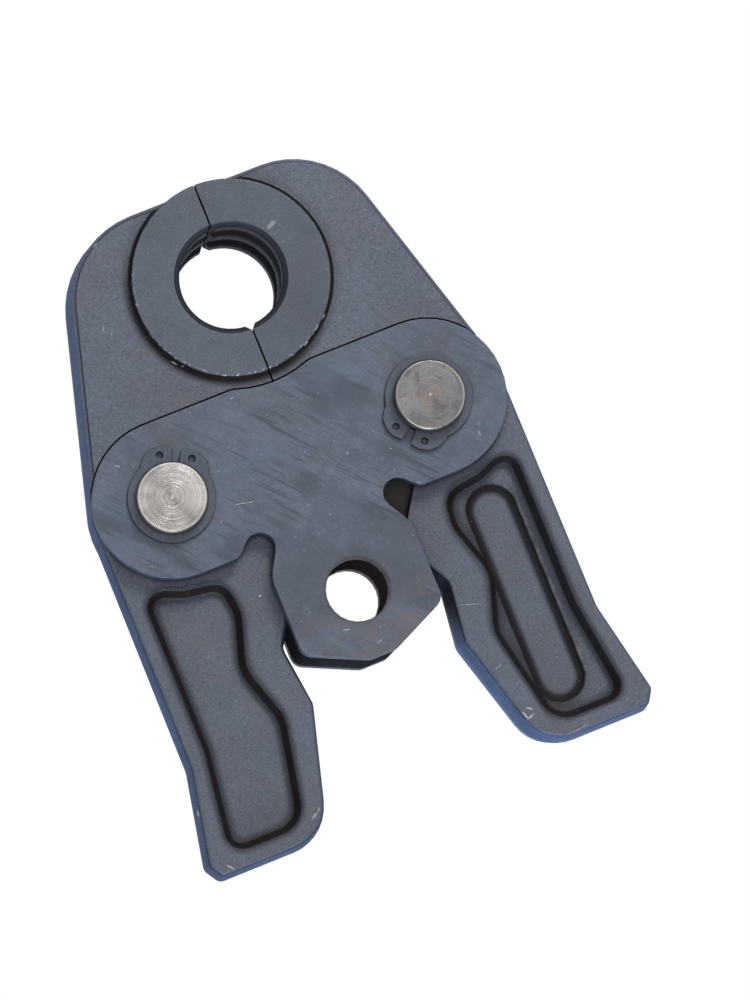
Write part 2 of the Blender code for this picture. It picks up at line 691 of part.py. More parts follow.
def make_spring(parts, steel):
    """Coil spring whose two legs press the arms' knuckles apart."""
    curve = bpy.data.curves.new("jaw_spring", "CURVE")
    curve.dimensions = "3D"
    curve.bevel_depth = SPRING_WIRE / 2
    curve.bevel_resolution = 2
    curve.use_fill_caps = True
    route = spring_route()
    spline = curve.splines.new("POLY")
    spline.points.add(len(route) - 1)
    for point, place in zip(spline.points, route):
        point.co = (*place, 1.0)
    spring = add_object("jaw_spring", curve, parts, steel)
    spring.location = (0.0, PIVOT_Y, MID_Z)


def main():
    for thing in list(bpy.data.objects):
        bpy.data.objects.remove(thing, do_unlink=True)
    parts = collection("press_fitting_tool_jaw")
    cutters = collection("cutters")
    make_arms(parts, cutters, principled("blackened_forged_steel", *FORGED_STEEL))
    make_plates(parts, principled("blackened_plate_steel", *PLATE_STEEL))
    make_pins(parts, cutters, principled("turned_pin_steel", *PIN_STEEL))
    make_rings(parts, principled("phosphated_spring_steel", *RING_STEEL))
    make_spring(parts, principled("oiled_spring_steel", *SPRING_STEEL))


main()
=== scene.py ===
"""Looks of a pressing jaw for a pipe fitting press tool.

An add-on run as a script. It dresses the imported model: two forged arms, two side plates, two
turned pivot pins with their retaining rings, and the jaw spring, each made by an operator of its
own, and a studio with the camera and its soft lights. Metres, +Z up, +Y towards the die.
"""

import math

import bpy
from mathutils import Euler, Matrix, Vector


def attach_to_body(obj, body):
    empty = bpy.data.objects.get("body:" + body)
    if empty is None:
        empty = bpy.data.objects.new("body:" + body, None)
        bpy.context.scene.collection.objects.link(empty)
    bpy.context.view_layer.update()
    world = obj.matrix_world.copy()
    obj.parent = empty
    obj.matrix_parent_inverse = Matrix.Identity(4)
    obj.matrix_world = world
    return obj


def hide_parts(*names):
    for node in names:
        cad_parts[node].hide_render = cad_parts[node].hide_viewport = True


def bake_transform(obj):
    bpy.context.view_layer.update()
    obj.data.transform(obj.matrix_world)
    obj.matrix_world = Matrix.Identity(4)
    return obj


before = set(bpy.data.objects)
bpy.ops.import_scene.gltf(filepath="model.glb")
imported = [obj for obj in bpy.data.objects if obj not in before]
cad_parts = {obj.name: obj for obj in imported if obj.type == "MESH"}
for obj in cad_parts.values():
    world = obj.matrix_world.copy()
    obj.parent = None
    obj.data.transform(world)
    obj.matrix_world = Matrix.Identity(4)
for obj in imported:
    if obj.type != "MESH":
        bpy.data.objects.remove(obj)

bl_info = {
    "name": "Press Jaw Looks",
    "version": (1, 0, 0),
    "blender": (4, 5, 0),
    "location": "View3D > Sidebar > Press Jaw",
    "description": "Dresses a pressing jaw's solids and sets up its studio",
    "category": "Object",
}

# The jaw's main places, as its solids have them, then the floor and how far the camera sees
PIVOT_X = 0.0310
PIVOT_Y = 0.0454
MID_Z = 0.0165
DIE = (0.0, 0.0866)
DIE_RADIUS = 0.0114
DIE_MOUTH = 0.00126
BOSS_RADIUS = 0.0223
BOSS_HALF = 0.0178
HEAD_HALF = 0.0163
PIN_RADIUS = 0.0080
PIN_HALF = 0.0213
GROOVE_DEPTH = 0.0004
GROOVE_IN = 0.01665
GROOVE_OUT = 0.01785
TOOL_HOLE = (0.0, 0.0113)
TOOL_HOLE_RADIUS = 0.00715
INNER_FACE = 0.0117
RECESS_X = 0.0046
RECESS_Y = (-0.06855, -0.02825)
RECESS_RADIUS = 0.00575
RECESS_LEVEL = 0.0082
STEP_REACH = 0.0245
SPRING_Y = -0.0110
SPRING_RADIUS = 0.0047
SPRING_WIRE = 0.0024
SPRING_TURNS = 4
COIL_PITCH = 0.00255
LEG_TIP = (0.0081, -0.0272)
FLOOR_Z = -0.0048
FLOOR_SIZE = 6.0
VIEW_END = 10.0

# Forms that the solids don't have: a pin's dimple and eased chamfer, and the steps of round wire
PIN_DIMPLE = 0.00030
CHAMFER = 0.00036
CHAMFER_START = 0.00048
CHAMFER_EASE = 0.00005
COIL_STEPS = 40
LEG_STEPS = 12

# Edges sharper than these are rounded, flatter than this are dropped, and how large faces count
PLATE_CREASE = math.radians(40.0)
RING_CREASE = math.radians(60.0)
FLATNESS = math.radians(0.2)
FACE_WEIGHT = 80

# A pocket's outline about the pivot axis, outward positive, and the mask's name
POCKET = ((0.0145, -0.0173), (0.0090, -0.0173), (0.0045, -0.0192), (-0.0050, -0.0206), (-0.0060, -0.0290),
          (-0.0021, -0.0410), (-0.0063, -0.0540), (-0.0012, -0.0787), (0.0179, -0.0787), (0.0145, -0.0545))
POCKET_MARGIN = 1.04
HOLLOW = "hollow"

# Where a finish comes in: (none, full), in metres past the edge that it follows
HEAD_CEILING = (0.0014, 0.0012)
HEAD_FLOOR = (-0.0004, -0.0002)
FOOT_FILLET = (0.0019, 0.0010)
FOOT_SHADOW = (0.0031, 0.0005)
WORN_RIM = (-0.00075, -0.00035)
CHIPPED_RIM = (0.0009, 0.0012)
BOSS_FACE = (0.0011, 0.0013)
STEP_SIDE = (0.0003, 0.0)
STEP_SUNK = (0.0012, 0.0)
RECESS_SUNK = (0.0006, 0.0)
RECESS_WALL_SHADE = (-0.0027, -0.0011)
RECESS_WALL_SHADE_END = (0.0005, 0.0)
BORE_WALL = (0.0030, 0.0022)
MOUTH_SHADE = (0.0013, 0.0001)
MOUTH_LEVEL = (-0.0013, -0.0011)
HOLE_WALL = (0.0009, 0.0001)
INNER_SIDE = (0.0003, 0.0)
PIN_RIM = (-0.00064, -0.00046)
PIN_SIDE = (-0.00036, -0.00024)
FRONT_HALF = (0.0, 0.004)

# Where it comes in by the jaw's own coordinates, or by the distance from an axis or a line
FACE_SIDE = (0.0, 0.00001)
LEFT_HALF = (0.0001, -0.0001)
RECESS_RIM = 0.00045
RECESS_RIM_WIDTH = (0.00050, 0.00012)
RECESS_RIM_SIDE = (0.0, 0.0050)
# Flanks are painted lighter towards the right and towards the rear, as painted light
FLANK_SIDES = (-0.01, 0.01)
FLANK_LEVELS = (0.022, 0.006)
BEHIND_TONGUE = (-0.0090, -0.0015)
BELOW_HEAD = (0.040, 0.034)
BETWEEN_ARMS = (0.036, 0.030)
MOUTH_LINE = (0.00030, 0.00008)
TONGUE_TOP = (0.030, 0.018)
TONGUE_FOOT = (0.004, 0.010)
TONGUE_END = (0.013, 0.002)
HOLE_RING = (0.0110, 0.0085)
PIN_MIDDLE = (0.0042, 0.0018)
PIN_CENTRE = (0.00034, 0.00016)
BAND_REACH = 0.0042

# How far the painted shade reaches out of corners, and how high the fine relief stands
FORGED_CORNER_SHADE = 0.0020
PLATE_CORNER_SHADE = 0.0008
PIN_CORNER_SHADE = 0.0014
RING_CORNER_SHADE = 0.0010
WIRE_CORNER_SHADE = 0.0012
PLATE_RELIEF = 0.00004
PIN_RELIEF = 0.000035
FINE_RELIEF = 0.00002

# Where it comes in by how flat a face lies, 1 flat and 0 upright, by how far a rounded edge still
# faces the same way, and by how open to the air a corner is
FLANK_LEAN = (0.92, 0.42)
BOSS_LEAN = (0.85, 0.98)
FILLET_LEAN = (0.998, 0.88)
TONGUE_SIDE_LEAN = (0.90, 0.55)
POCKET_LEAN = (0.999, 0.60)
POCKET_SOFT_LEAN = (0.9995, 0.94)
BORE_LEAN = (0.90, 0.60)
PLATE_EDGE_LEAN = (0.35, 0.10)
HOLE_LEAN = (0.1, 0.95, 1.0, 0.35)
RING_EDGE_LEAN = (0.80, 0.30)
EDGE_TURN = (0.99, 0.86)
OPEN_AIR = (0.88, 0.35)

# Which way the painted shadow at the boss's foot lies thickest, and how it and the worn rim thin: (from, to,
# least, most)
LEE = (-0.64, -0.77)
SHADOW_LEE = (-0.2, 0.75, 0.25, 1.0)
WORN_LEE = (0.0, 0.6, 0.15, 1.0)

# Noise: (cells per metre, detail, roughness, distortion)
GRAIN = (2300.0, 3.0, 0.6)
PITS = (900.0, 5.0, 0.7)
BOSS_CLOUD = (130.0, 5.0, 0.72, 0.6)
BORE_SHADE_CLOUD = (600.0,)
FLANK_GRAIN = (900.0, 4.0, 0.7)
PLATE_MOTTLE = (260.0, 6.0, 0.68)
PLATE_GRAIN = (1900.0, 3.0, 0.65)
PIN_FINE = (3600.0, 3.0, 0.7)
PIN_BANDS = (620.0, 3.0, 0.6)
PIN_BLOTCH = (520.0, 5.0, 0.68)
PIN_CLOUD = (150.0, 3.0, 0.6)
PIN_SCOUR = (2600.0, 2.0, 0.6)
RING_MOTTLE = (900.0, 4.0, 0.6)
WIRE_MOTTLE = (700.0, 5.0, 0.65)
WIRE_DRAWN = (3000.0, 2.0, 0.5)
NICK_EDGE = (3200.0, 3.0)

# Patches: (noise, value where they start, value where they are full, least and most if not 0 and 1)
FLANK_CLOUD = ((110.0, 5.0, 0.6), 0.3, 0.7)
FORGED_WEAR_AND_GLINT = ((330.0, 4.0, 0.7), 0.42, 0.66)
FORGED_CHIPS = ((1100.0, 4.0, 0.75), 0.54, 0.62)
FORGED_SPECKS = ((1300.0, 2.0, 0.5), 0.72, 0.79)
PLATE_BROWN = ((170.0, 4.0, 0.6), 0.42, 0.62)
PLATE_CROWD = ((40.0, 2.0, 0.5), 0.44, 0.58, 0.35, 1.0)
PLATE_EDGE_GLINT = ((150.0, 4.0, 0.7), 0.40, 0.62, 0.15, 0.60)
PLATE_SPECKS = ((900.0, 2.0, 0.5), 0.71, 0.78)
RING_WEAR_AND_GLINT = ((500.0, 3.0, 0.6), 0.50, 0.68)

# Mottling: (noise, darkest, lightest), and coloured patches: (patches, strength, colour)
FORGED_TONES = (((70.0, 5.0, 0.6, 0.4), 0.78, 1.22), (GRAIN, 0.40, 1.60), ((1500.0, 3.0, 0.7), 0.72, 1.28))
PLATE_TONES = ((PLATE_MOTTLE, 0.60, 1.40), ((60.0, 4.0, 0.55, 0.4), 0.76, 1.24), (PLATE_GRAIN, 0.68, 1.32))
FORGED_PATCHES = ((((55.0, 5.0, 0.65), 0.48, 0.70), 0.35, (0.112, 0.102, 0.098)),
                  (((520.0, 3.0, 0.6), 0.60, 0.72), 0.22, (0.105, 0.084, 0.072)))
PLATE_PATCHES = ((((75.0, 4.0, 0.6, 0.5), 0.50, 0.68), 0.40, (0.098, 0.138, 0.200)),
                 (((58.0, 5.0, 0.65, 0.7), 0.52, 0.68), 0.45, (0.082, 0.078, 0.074)))

# Roughness: (noise's lower value, its upper value, roughness at the lower, roughness at the upper)
FORGED_ROUGH = (0.2, 0.8, 0.60, 0.44)
PLATE_ROUGH = (0.25, 0.75, 0.52, 0.36)
PIN_ROUGH = (0.3, 0.7, 0.30, 0.46)
RING_ROUGH = (0.3, 0.7, 0.48, 0.34)
WIRE_ROUGH = (0.3, 0.7, 0.30, 0.45)

# Streaks: (noise, centre, turn in degrees, narrowness, start, full)
FORGED_HAIRS = ((95.0, 3.0, 0.5, 0.9), (*DIE, 0.0), 62.0, 16.0, 0.67, 0.74)
PLATE_HAIRS = ((150.0, 2.0, 0.4), (0.01, PIVOT_Y, 0.0), 70.0, 40.0, 0.68, 0.74)

# The plates' smudges: (cells per metre, turn in degrees, narrowness, start, strength), and what all share
SMUDGES = ((26.0, 47.0, 4.5, 0.51, 0.48), (58.0, 48.0, 14.0, 0.56, 0.60), (95.0, 49.5, 34.0, 0.59, 0.62),
           (150.0, 44.0, 18.0, 0.61, 0.55))
SMUDGE_NOISE = (3.0, 0.55, 0.25)
SMUDGE_CENTRE = (0.004, PIVOT_Y, 0.0)
SMUDGE_FADE = 0.09

# Machining lines: (waves per metre, distortion, detail), their slants in degrees, how scouring and
# drawing lines are stretched, and the bearing along which a painted highlight lies on the pins' turned rings
BOSS_HATCH = (520.0, 0.6, 2.0)
BOSS_TURNING = (900.0, 0.8, 3.0)
HATCH_TURN = 52.0
SCOUR_TURN = 35.0
SCOUR_STRETCH = (0.12, 1.0, 1.0)
WIRE_STRETCH = (1.0, 1.0, 0.15)
SHINE_BEARING = (0.93, -0.37, 0.0)

# Colours of single spots and films, and of painted shade and painted highlights
BLUE_SHEEN = (0.54, 0.68, 1.0)
BOSS_STEEL = (0.088, 0.103, 0.134)
FORGED_HAIR = (0.24, 0.25, 0.28)
STEP_SHADE_BROWN = (0.072, 0.052, 0.040)
TONGUE_SHADE = (0.018, 0.018, 0.021)
BORE_SHADE = (0.026, 0.029, 0.034)
# The bore's mouth is painted darker inward as shade
MOUTH_OUTER = (0.070, 0.086, 0.115)
MOUTH_INNER = (0.034, 0.044, 0.062)
MOUTH_EDGE = (0.018, 0.018, 0.020)
SMUDGE = (0.036, 0.042, 0.056)
PLATE_HAIR = (0.24, 0.26, 0.30)
TONGUE_DARK = (0.040, 0.045, 0.058)
TONGUE_BROWN = (0.142, 0.121, 0.127)
# Blue of the plates' sides, partly a painted reflection
PLATE_EDGE_BLUE = (0.060, 0.074, 0.122)
HOLE_WALL_BROWN = (0.030, 0.024, 0.019)
# The plates' inner faces are painted darker as shade, browner near the tool hole
INNER_SLATE = (0.060, 0.064, 0.078)
INNER_BROWN = (0.046, 0.037, 0.030)
EDGE_GLINT_BLUE = (0.17, 0.235, 0.36)
PIN_STAIN = (0.110, 0.085, 0.068)
PIN_RUST = (0.20, 0.145, 0.110)
PIN_CENTRE_GLINT = (0.80, 0.78, 0.75)
PIN_BRIGHT = (0.72, 0.70, 0.67)
PIN_SIDE_SHADE = (0.042, 0.036, 0.031)
WIRE_STEEL = (0.20, 0.20, 0.21)
WIRE_SHADE = (0.03, 0.028, 0.026)
FLOOR_PAPER = (0.86, 0.87, 0.88, 1.0)
SKY_TINT = (0.93, 0.96, 1.0, 1.0)

# The pins' turned faces: (side, x, colour or none for the finish's own, rings, stains)
PIN_LOOKS = (("left", -PIVOT_X, None, 1.0, 0.15), ("right", PIVOT_X, (0.166, 0.163, 0.170), 0.45, 0.65))

# Lamps: (name, place, size in metres, power in watts, colour)
LAMPS = (
    ("key_lamp", (0.55, 0.72, 1.04), 0.40, 8.9, (1.0, 0.985, 0.96)),
    ("front_lamp", (-0.25, -0.10, 1.30), 0.90, 2.0, (0.96, 0.98, 1.0)),
    ("low_lamp", (-0.40, -0.98, 0.30), 0.50, 8.0, (0.84, 0.91, 1.0)),
)

# Small marks: (x, y, half length, half width, turn in degrees, strength), in millimetres from the
# middle of the pivots' line
MM = 0.001
ARM_NICKS = (
    (-19.0, 28.1, 0.8, 0.16, -52, 0.9),
    (-17.6, 26.7, 0.5, 0.14, -48, 0.7),
    (10.0, 21.3, 0.7, 0.22, 28, 1.0),
    (13.5, 23.6, 0.9, 0.18, 38, 0.9),
    (16.0, 25.5, 0.7, 0.16, 46, 0.8),
    (12.8, 48.9, 1.3, 0.6, 20, 0.36),
    (-25.5, 59.2, 0.9, 0.18, 30, 0.8),
    (-30.8, 41.0, 0.8, 0.12, 70, 0.5),
    (-29.5, 39.2, 0.6, 0.1, 60, 0.4),
    (24.7, -73.8, 1.2, 0.22, -70, 1.0),
    (25.6, -74.7, 0.9, 0.18, 20, 1.0),
    (26.2, -72.8, 1.0, 0.18, -40, 1.0),
    (-27.5, -77.0, 1.2, 0.28, 35, 0.5),
    (-26.2, -76.2, 0.7, 0.18, 70, 0.5),
    (-20.3, -27.0, 0.3, 0.18, 0, 1.0),
    (23.2, -61.6, 0.9, 0.12, 15, 0.5),
    (22.7, -46.3, 3.0, 0.08, -18, 0.5),
    (-49.2, -80.6, 1.3, 0.16, -48, 0.8),
    (35.0, -81.2, 3.0, 0.09, 5, 0.6),
    (-51.2, -66.8, 0.8, 0.14, 80, 0.6),
    (-19.0, -44.7, 0.3, 0.2, 0, 0.6),
)
PLATE_NICKS = (
    (-39.4, 11.3, 0.8, 0.12, -35, 0.9),
    (-16.8, -6.7, 1.2, 0.1, -12, 0.8),
    (-14.8, -7.2, 0.8, 0.09, -15, 0.8),
    (38.6, -11.7, 0.7, 0.1, 85, 0.7),
    (39.2, -9.7, 0.6, 0.09, 60, 0.6),
    (-5.7, -41.5, 0.8, 0.11, -15, 0.8),
    (0.2, -46.6, 1.1, 0.13, 20, 0.5),
    (-22.5, -8.8, 0.4, 0.12, 0, 0.6),
    (18.8, -7.6, 0.5, 0.11, -30, 0.6),
    (-10.0, 16.0, 0.7, 0.1, 10, 0.5),
    (17.6, -12.5, 0.5, 0.09, 40, 0.5),
    (-8.5, -18.0, 0.4, 0.12, 0, 0.4),
)


class JawFinishSettings(bpy.types.PropertyGroup):
    """Colours and grain of the steels."""

    forged: bpy.props.FloatVectorProperty(
        name="Forged Face", description="Blackened face of the forged arms",
        subtype="COLOR", min=0.0, max=1.0, default=(0.104, 0.119, 0.156))
    # Part blued steel, part a painted blue reflection of the steep sides
    flank: bpy.props.FloatVectorProperty(
        name="Forged Flank", description="Blued sides of the arms and the plates' edges",
        subtype="COLOR", min=0.0, max=1.0, default=(0.070, 0.100, 0.192))
    # Painted shade: this dark colour is laid on slopes, in pockets and in corners where shade falls
    scale: bpy.props.FloatVectorProperty(
        name="Scale", description="Brown-black scale on slopes and in corners",
        subtype="COLOR", min=0.0, max=1.0, default=(0.021, 0.019, 0.018))
    plate: bpy.props.FloatVectorProperty(
        name="Plate", description="Blackened face of the side plates",
        subtype="COLOR", min=0.0, max=1.0, default=(0.108, 0.128, 0.172))
    # Bare steel also lays a painted highlight along edges and the recess's rim
    bare: bpy.props.FloatVectorProperty(
        name="Bare Steel", description="Worn and nicked spots",
        subtype="COLOR", min=0.0, max=1.0, default=(0.52, 0.53, 0.54))
    turned: bpy.props.FloatVectorProperty(
        name="Turned Steel", description="Turned ends of the pivot pins",
        subtype="COLOR", min=0.0, max=1.0, default=(0.335, 0.320, 0.312))
    ring: bpy.props.FloatVectorProperty(
        name="Phosphated Ring", description="Retaining rings",
        subtype="COLOR", min=0.0, max=1.0, default=(0.078, 0.092, 0.122))
    grain: bpy.props.FloatProperty(
        name="Grain Depth", description="Height of the blasted grain on the forgings",
        unit="LENGTH", min=0.0, max=0.001, precision=6, default=0.00006)


class JawDetailSettings(bpy.types.PropertyGroup):
    """How the solids' meshes are finished."""

    weld: bpy.props.FloatProperty(
        name="Weld Distance", description="Corners closer than this become one",
        unit="LENGTH", min=0.0, max=0.001, precision=6, default=0.00001)
    smooth_angle: bpy.props.FloatProperty(
        name="Smooth Angle", description="Edges sharper than this stay sharp",
        subtype="ANGLE", min=0.0, max=math.pi, default=math.radians(38.0))
    plate_edge: bpy.props.FloatProperty(
        name="Plate Edge", description="Rounding on both sides of a plate's chamfer",
        unit="LENGTH", min=0.0, max=0.001, precision=6, default=0.00014)
    ring_edge: bpy.props.FloatProperty(
        name="Ring Edge", description="Rounding on the retaining rings' edges",
        unit="LENGTH", min=0.0, max=0.001, precision=6, default=0.00012)
    edge_radius: bpy.props.FloatProperty(
        name="Edge Radius", description="Rounding that sharp edges show in the light",
        unit="LENGTH", min=0.0, max=0.001, precision=6, default=0.00022)
    pin_steps: bpy.props.IntProperty(
        name="Pin Steps", description="Facets around a pivot pin",
        min=12, max=512, default=144)
    wire_sides: bpy.props.IntProperty(
        name="Wire Resolution", description="Bevel resolution of the spring's wire",
        min=1, max=16, default=5)


class JawStudioSettings(bpy.types.PropertyGroup):
    """Camera, lamps and floor."""

    tilt: bpy.props.FloatVectorProperty(
        name="View Turn", description="How the jaw is turned in front of the camera",
        subtype="EULER", size=3, default=(-0.0686, 0.1133, 0.3796))
    shift: bpy.props.FloatVectorProperty(
        name="View Shift", description="Place of the pivots' middle in the picture",
        subtype="XYZ", unit="LENGTH", size=2, default=(-0.01797, 0.00985))
    distance: bpy.props.FloatProperty(
        name="Camera Distance", description="From the camera to the jaw's mid-plane",
        unit="LENGTH", min=0.1, max=10.0, default=1.399)
    lens: bpy.props.FloatProperty(
        name="Focal Length", description="Camera focal length in millimetres",
        min=10.0, max=1000.0, default=223.2)
    sky: bpy.props.FloatProperty(
        name="Sky Light", description="Strength of the even light from all round",
        min=0.0, max=10.0, default=0.245)


class Look:
    """One material's nodes, and its colour so far."""

    def __init__(self, name, colour):
        self.colour = colour
        self.material = bpy.data.materials.new(name)
        self.material.use_nodes = True
        self.tree = self.material.node_tree
        self.shader = self.tree.nodes["Principled BSDF"]
        place = self.add("ShaderNodeTexCoord").outputs
        self.here, self.facing = place["Object"], place["Normal"]

    def add(self, kind, sockets=None, **settings):
        """New node; a socket takes a value or another node's output."""
        node = self.tree.nodes.new(kind)
        for key, value in settings.items():
            setattr(node, key, value)
        for key, value in (sockets or {}).items():
            self.feed(node.inputs[key], value)
        return node

    def feed(self, socket, value):
        """Link an output to a socket, or set the socket's value."""
        if isinstance(value, bpy.types.NodeSocket):
            self.tree.links.new(value, socket)
        else:
            socket.default_value = value

    def math(self, operation, first, second=0.0):
        """Math node's output."""
        return self.add("ShaderNodeMath", {0: first, 1: second}, operation=operation).outputs[0]

    def both(self, first, second):
        """Product of two masks, or a mask at a share of its strength."""
        return self.math("MULTIPLY", first, second)

    def either(self, *masks):
        """Strongest of some masks."""
        total = masks[0]
        for mask in masks[1:]:
            total = self.math("MAXIMUM", total, mask)
        return total

    def less(self, first, second):
        """Difference of two values."""
        return self.math("SUBTRACT", first, second)

    def size(self, value):
        """Value without its sign."""
        return self.math("ABSOLUTE", value)

    def split(self, vector):
        """The three parts of a vector."""
        return self.add("ShaderNodeSeparateXYZ", {0: vector}).outputs[:3]

    def vector(self, operation, first, second=None, output=0):
        """Vector math node's output."""
        node = self.add("ShaderNodeVectorMath", {0: first}, operation=operation)
        if second is not None:
            self.feed(node.inputs[1], second)
        return node.outputs[output]

    def length(self, vector):
        """Length of a vector."""
        return self.vector("LENGTH", vector, output=1)

    def placed(self, centre, turn=0.0, stretch=(1.0, 1.0, 1.0)):
        """Object coordinates about a point, turned about Z and stretched."""
        moved = self.vector("SUBTRACT", self.here, centre)
        if turn:
            moved = self.add("ShaderNodeVectorRotate", {"Vector": moved, "Angle": math.radians(turn)},
                             rotation_type="Z_AXIS").outputs[0]
        return self.add("ShaderNodeMapping", {"Vector": moved, "Scale": stretch}).outputs[0]

    def across(self, x, y):
        """Object coordinates about an axis along Z, without their height."""
        return self.placed((x, y, 0.0), stretch=(1.0, 1.0, 0.0))

    def noise(self, scale, detail=4.0, rough=0.55, distortion=0.0, vector=None):
        """Noise value at a scale in cells per metre."""
        source = vector or self.here
        node = self.add("ShaderNodeTexNoise", {"Vector": source, "Scale": scale, "Detail": detail,
                                               "Roughness": rough, "Distortion": distortion})
        return node.outputs["Fac"]

    def wave(self, vector, scale, distortion, detail, **settings):
        """Wave value at a scale in waves per metre."""
        sockets = {"Vector": vector, "Scale": scale, "Distortion": distortion, "Detail": detail}
        return self.add("ShaderNodeTexWave", sockets, **settings).outputs["Fac"]

    def span(self, value, low, high, to_low=0.0, to_high=1.0):
        """Value rescaled smoothly from one range to another."""
        node = self.add("ShaderNodeMapRange", {"Value": value, "From Min": low, "From Max": high,
                                               "To Min": to_low, "To Max": to_high},
                        interpolation_type="SMOOTHSTEP")
        return node.outputs["Result"]

    def near(self, value, edge, offsets):
        """Mask that comes in between two distances past an edge."""
        return self.span(value, edge + offsets[0], edge + offsets[1])

    def patches(self, pattern, *limits):
        """Mask of soft patches, where noise passes its limits."""
        return self.span(self.noise(*pattern), *limits)

    def streaks(self, pattern, centre, turn, narrow, low, high):
        """Mask of streaks along one slant."""
        slant = self.placed(centre, turn, (1.0, narrow, 1.0))
        return self.span(self.noise(*pattern, vector=slant), low, high)

    def mix(self, factor, first, second, blend="MIX"):
        """Mixed colour; a colour may be given as three numbers."""
        node = self.add("ShaderNodeMix", {}, data_type="RGBA", blend_type=blend)
        self.feed(node.inputs[0], factor)
        for socket, value in ((node.inputs[6], first), (node.inputs[7], second)):
            flat = not isinstance(value, bpy.types.NodeSocket)
            self.feed(socket, (*value, 1.0) if flat else value)
        return node.outputs[2]

    def tone(self, colour, value, low, high):
        """Colour brightened or darkened by a value between 0 and 1."""
        factor = self.add("ShaderNodeMapRange", {"Value": value, "To Min": low, "To Max": high})
        grey = self.add("ShaderNodeCombineColor", {i: factor.outputs[0] for i in range(3)})
        return self.mix(1.0, colour, grey.outputs[0], "MULTIPLY")

    def shade(self, value, low, high):
        """Brighten or darken the colour so far."""
        self.colour = self.tone(self.colour, value, low, high)

    def paint(self, colour, mask, share=None):
        """Lay a colour over the one so far where a mask says, at a share of its strength."""
        factor = mask if share is None else self.both(mask, share)
        self.colour = self.mix(factor, self.colour, colour)

    def weather(self, tones, layers):
        """Tone the colour so far by one noise after another, then patch it with other colours."""
        for pattern, low, high in tones:
            self.shade(self.noise(*pattern), low, high)
        for patch, strength, other in layers:
            self.paint(other, self.patches(*patch), strength)

    def edges(self, radius):
        """How much a point lies on a sharp edge, and the rounded normal there."""
        rounded = self.add("ShaderNodeBevel", {"Radius": radius}, samples=6)
        plain = self.add("ShaderNodeNewGeometry")
        along = self.vector("DOT_PRODUCT", rounded.outputs[0], plain.outputs["Normal"], output=1)
        return self.span(along, *EDGE_TURN), rounded.outputs[0]

    def corners(self, reach):
        """How deep a point lies in a corner."""
        open_air = self.add("ShaderNodeAmbientOcclusion", {"Distance": reach}, samples=8)
        return self.span(open_air.outputs["AO"], *OPEN_AIR)

    def nicks(self, marks):
        """Mask of small bright marks at named places on the front."""
        ragged = self.noise(*NICK_EDGE)
        found = []
        for x, y, length, width, turn, strength in marks:
            centre = (x * MM, y * MM + PIVOT_Y, MID_Z)
            stretch = (1.0 / (length * MM), 1.0 / (width * MM), 0.0)
            far = self.length(self.placed(centre, -turn, stretch))
            ragged_far = self.math("ADD", far, self.math("MULTIPLY_ADD", ragged, 2.2))
            found.append(self.both(self.span(ragged_far, 2.7, 2.15), strength))
        height = self.split(self.here)[2]
        return self.both(self.either(*found), self.near(height, MID_Z, FRONT_HALF))

    def bump(self, height, distance, normal=None):
        """Bumped normal."""
        node = self.add("ShaderNodeBump", {"Height": height, "Distance": distance})
        if normal is not None:
            self.feed(node.inputs["Normal"], normal)
        return node.outputs[0]

    def finish(self, roughness, metallic, normal):
        """Connect the shader."""
        self.feed(self.shader.inputs["Base Color"], self.colour)
        self.feed(self.shader.inputs["Roughness"], roughness)
        self.feed(self.shader.inputs["Metallic"], metallic)
        self.feed(self.shader.inputs["Normal"], normal)
        return self.material


def slope(look):
    """How far a surface faces along Z in the piece's own frame: 1 flat, 0 upright."""
    return look.size(look.split(look.facing)[2])


def soft_slope(look, radius):
    """Slope as it looks when every edge is rounded to a radius."""
    rounded = look.add("ShaderNodeBevel", {"Radius": radius}, samples=12).outputs[0]
    own = look.add("ShaderNodeVectorTransform", {0: rounded}, vector_type="NORMAL",
                    convert_from="WORLD", convert_to="OBJECT").outputs[0]
    return look.size(look.split(own)[2])


def recess_shade(look, level):
    """Painted shade inside the long recess's wall, and a painted highlight along its outer rim."""
    x, y, z = look.split(look.here)
    across = look.less(look.size(x), PIVOT_X + RECESS_X)
    along = look.less(y, PIVOT_Y)
    held = look.math("MINIMUM", look.either(along, RECESS_Y[0]), RECESS_Y[1])
    ends = look.add("ShaderNodeCombineXYZ", {0: across, 1: look.less(along, held)})
    reach = look.length(ends.outputs[0])
    own_face = look.span(look.both(x, look.less(z, MID_Z)), *FACE_SIDE)
    sunk = look.both(own_face, look.near(level, RECESS_LEVEL, RECESS_SUNK))
    # Painted shade inside the recess's wall
    painted_shade = look.both(look.near(reach, RECESS_RADIUS, RECESS_WALL_SHADE),
                      look.near(reach, RECESS_RADIUS, RECESS_WALL_SHADE_END))
    rim = look.size(look.less(reach, RECESS_RADIUS + RECESS_RIM))
    glint = look.both(look.span(rim, *RECESS_RIM_WIDTH), look.span(across, *RECESS_RIM_SIDE))
    return look.both(painted_shade, sunk), look.both(glint, sunk)


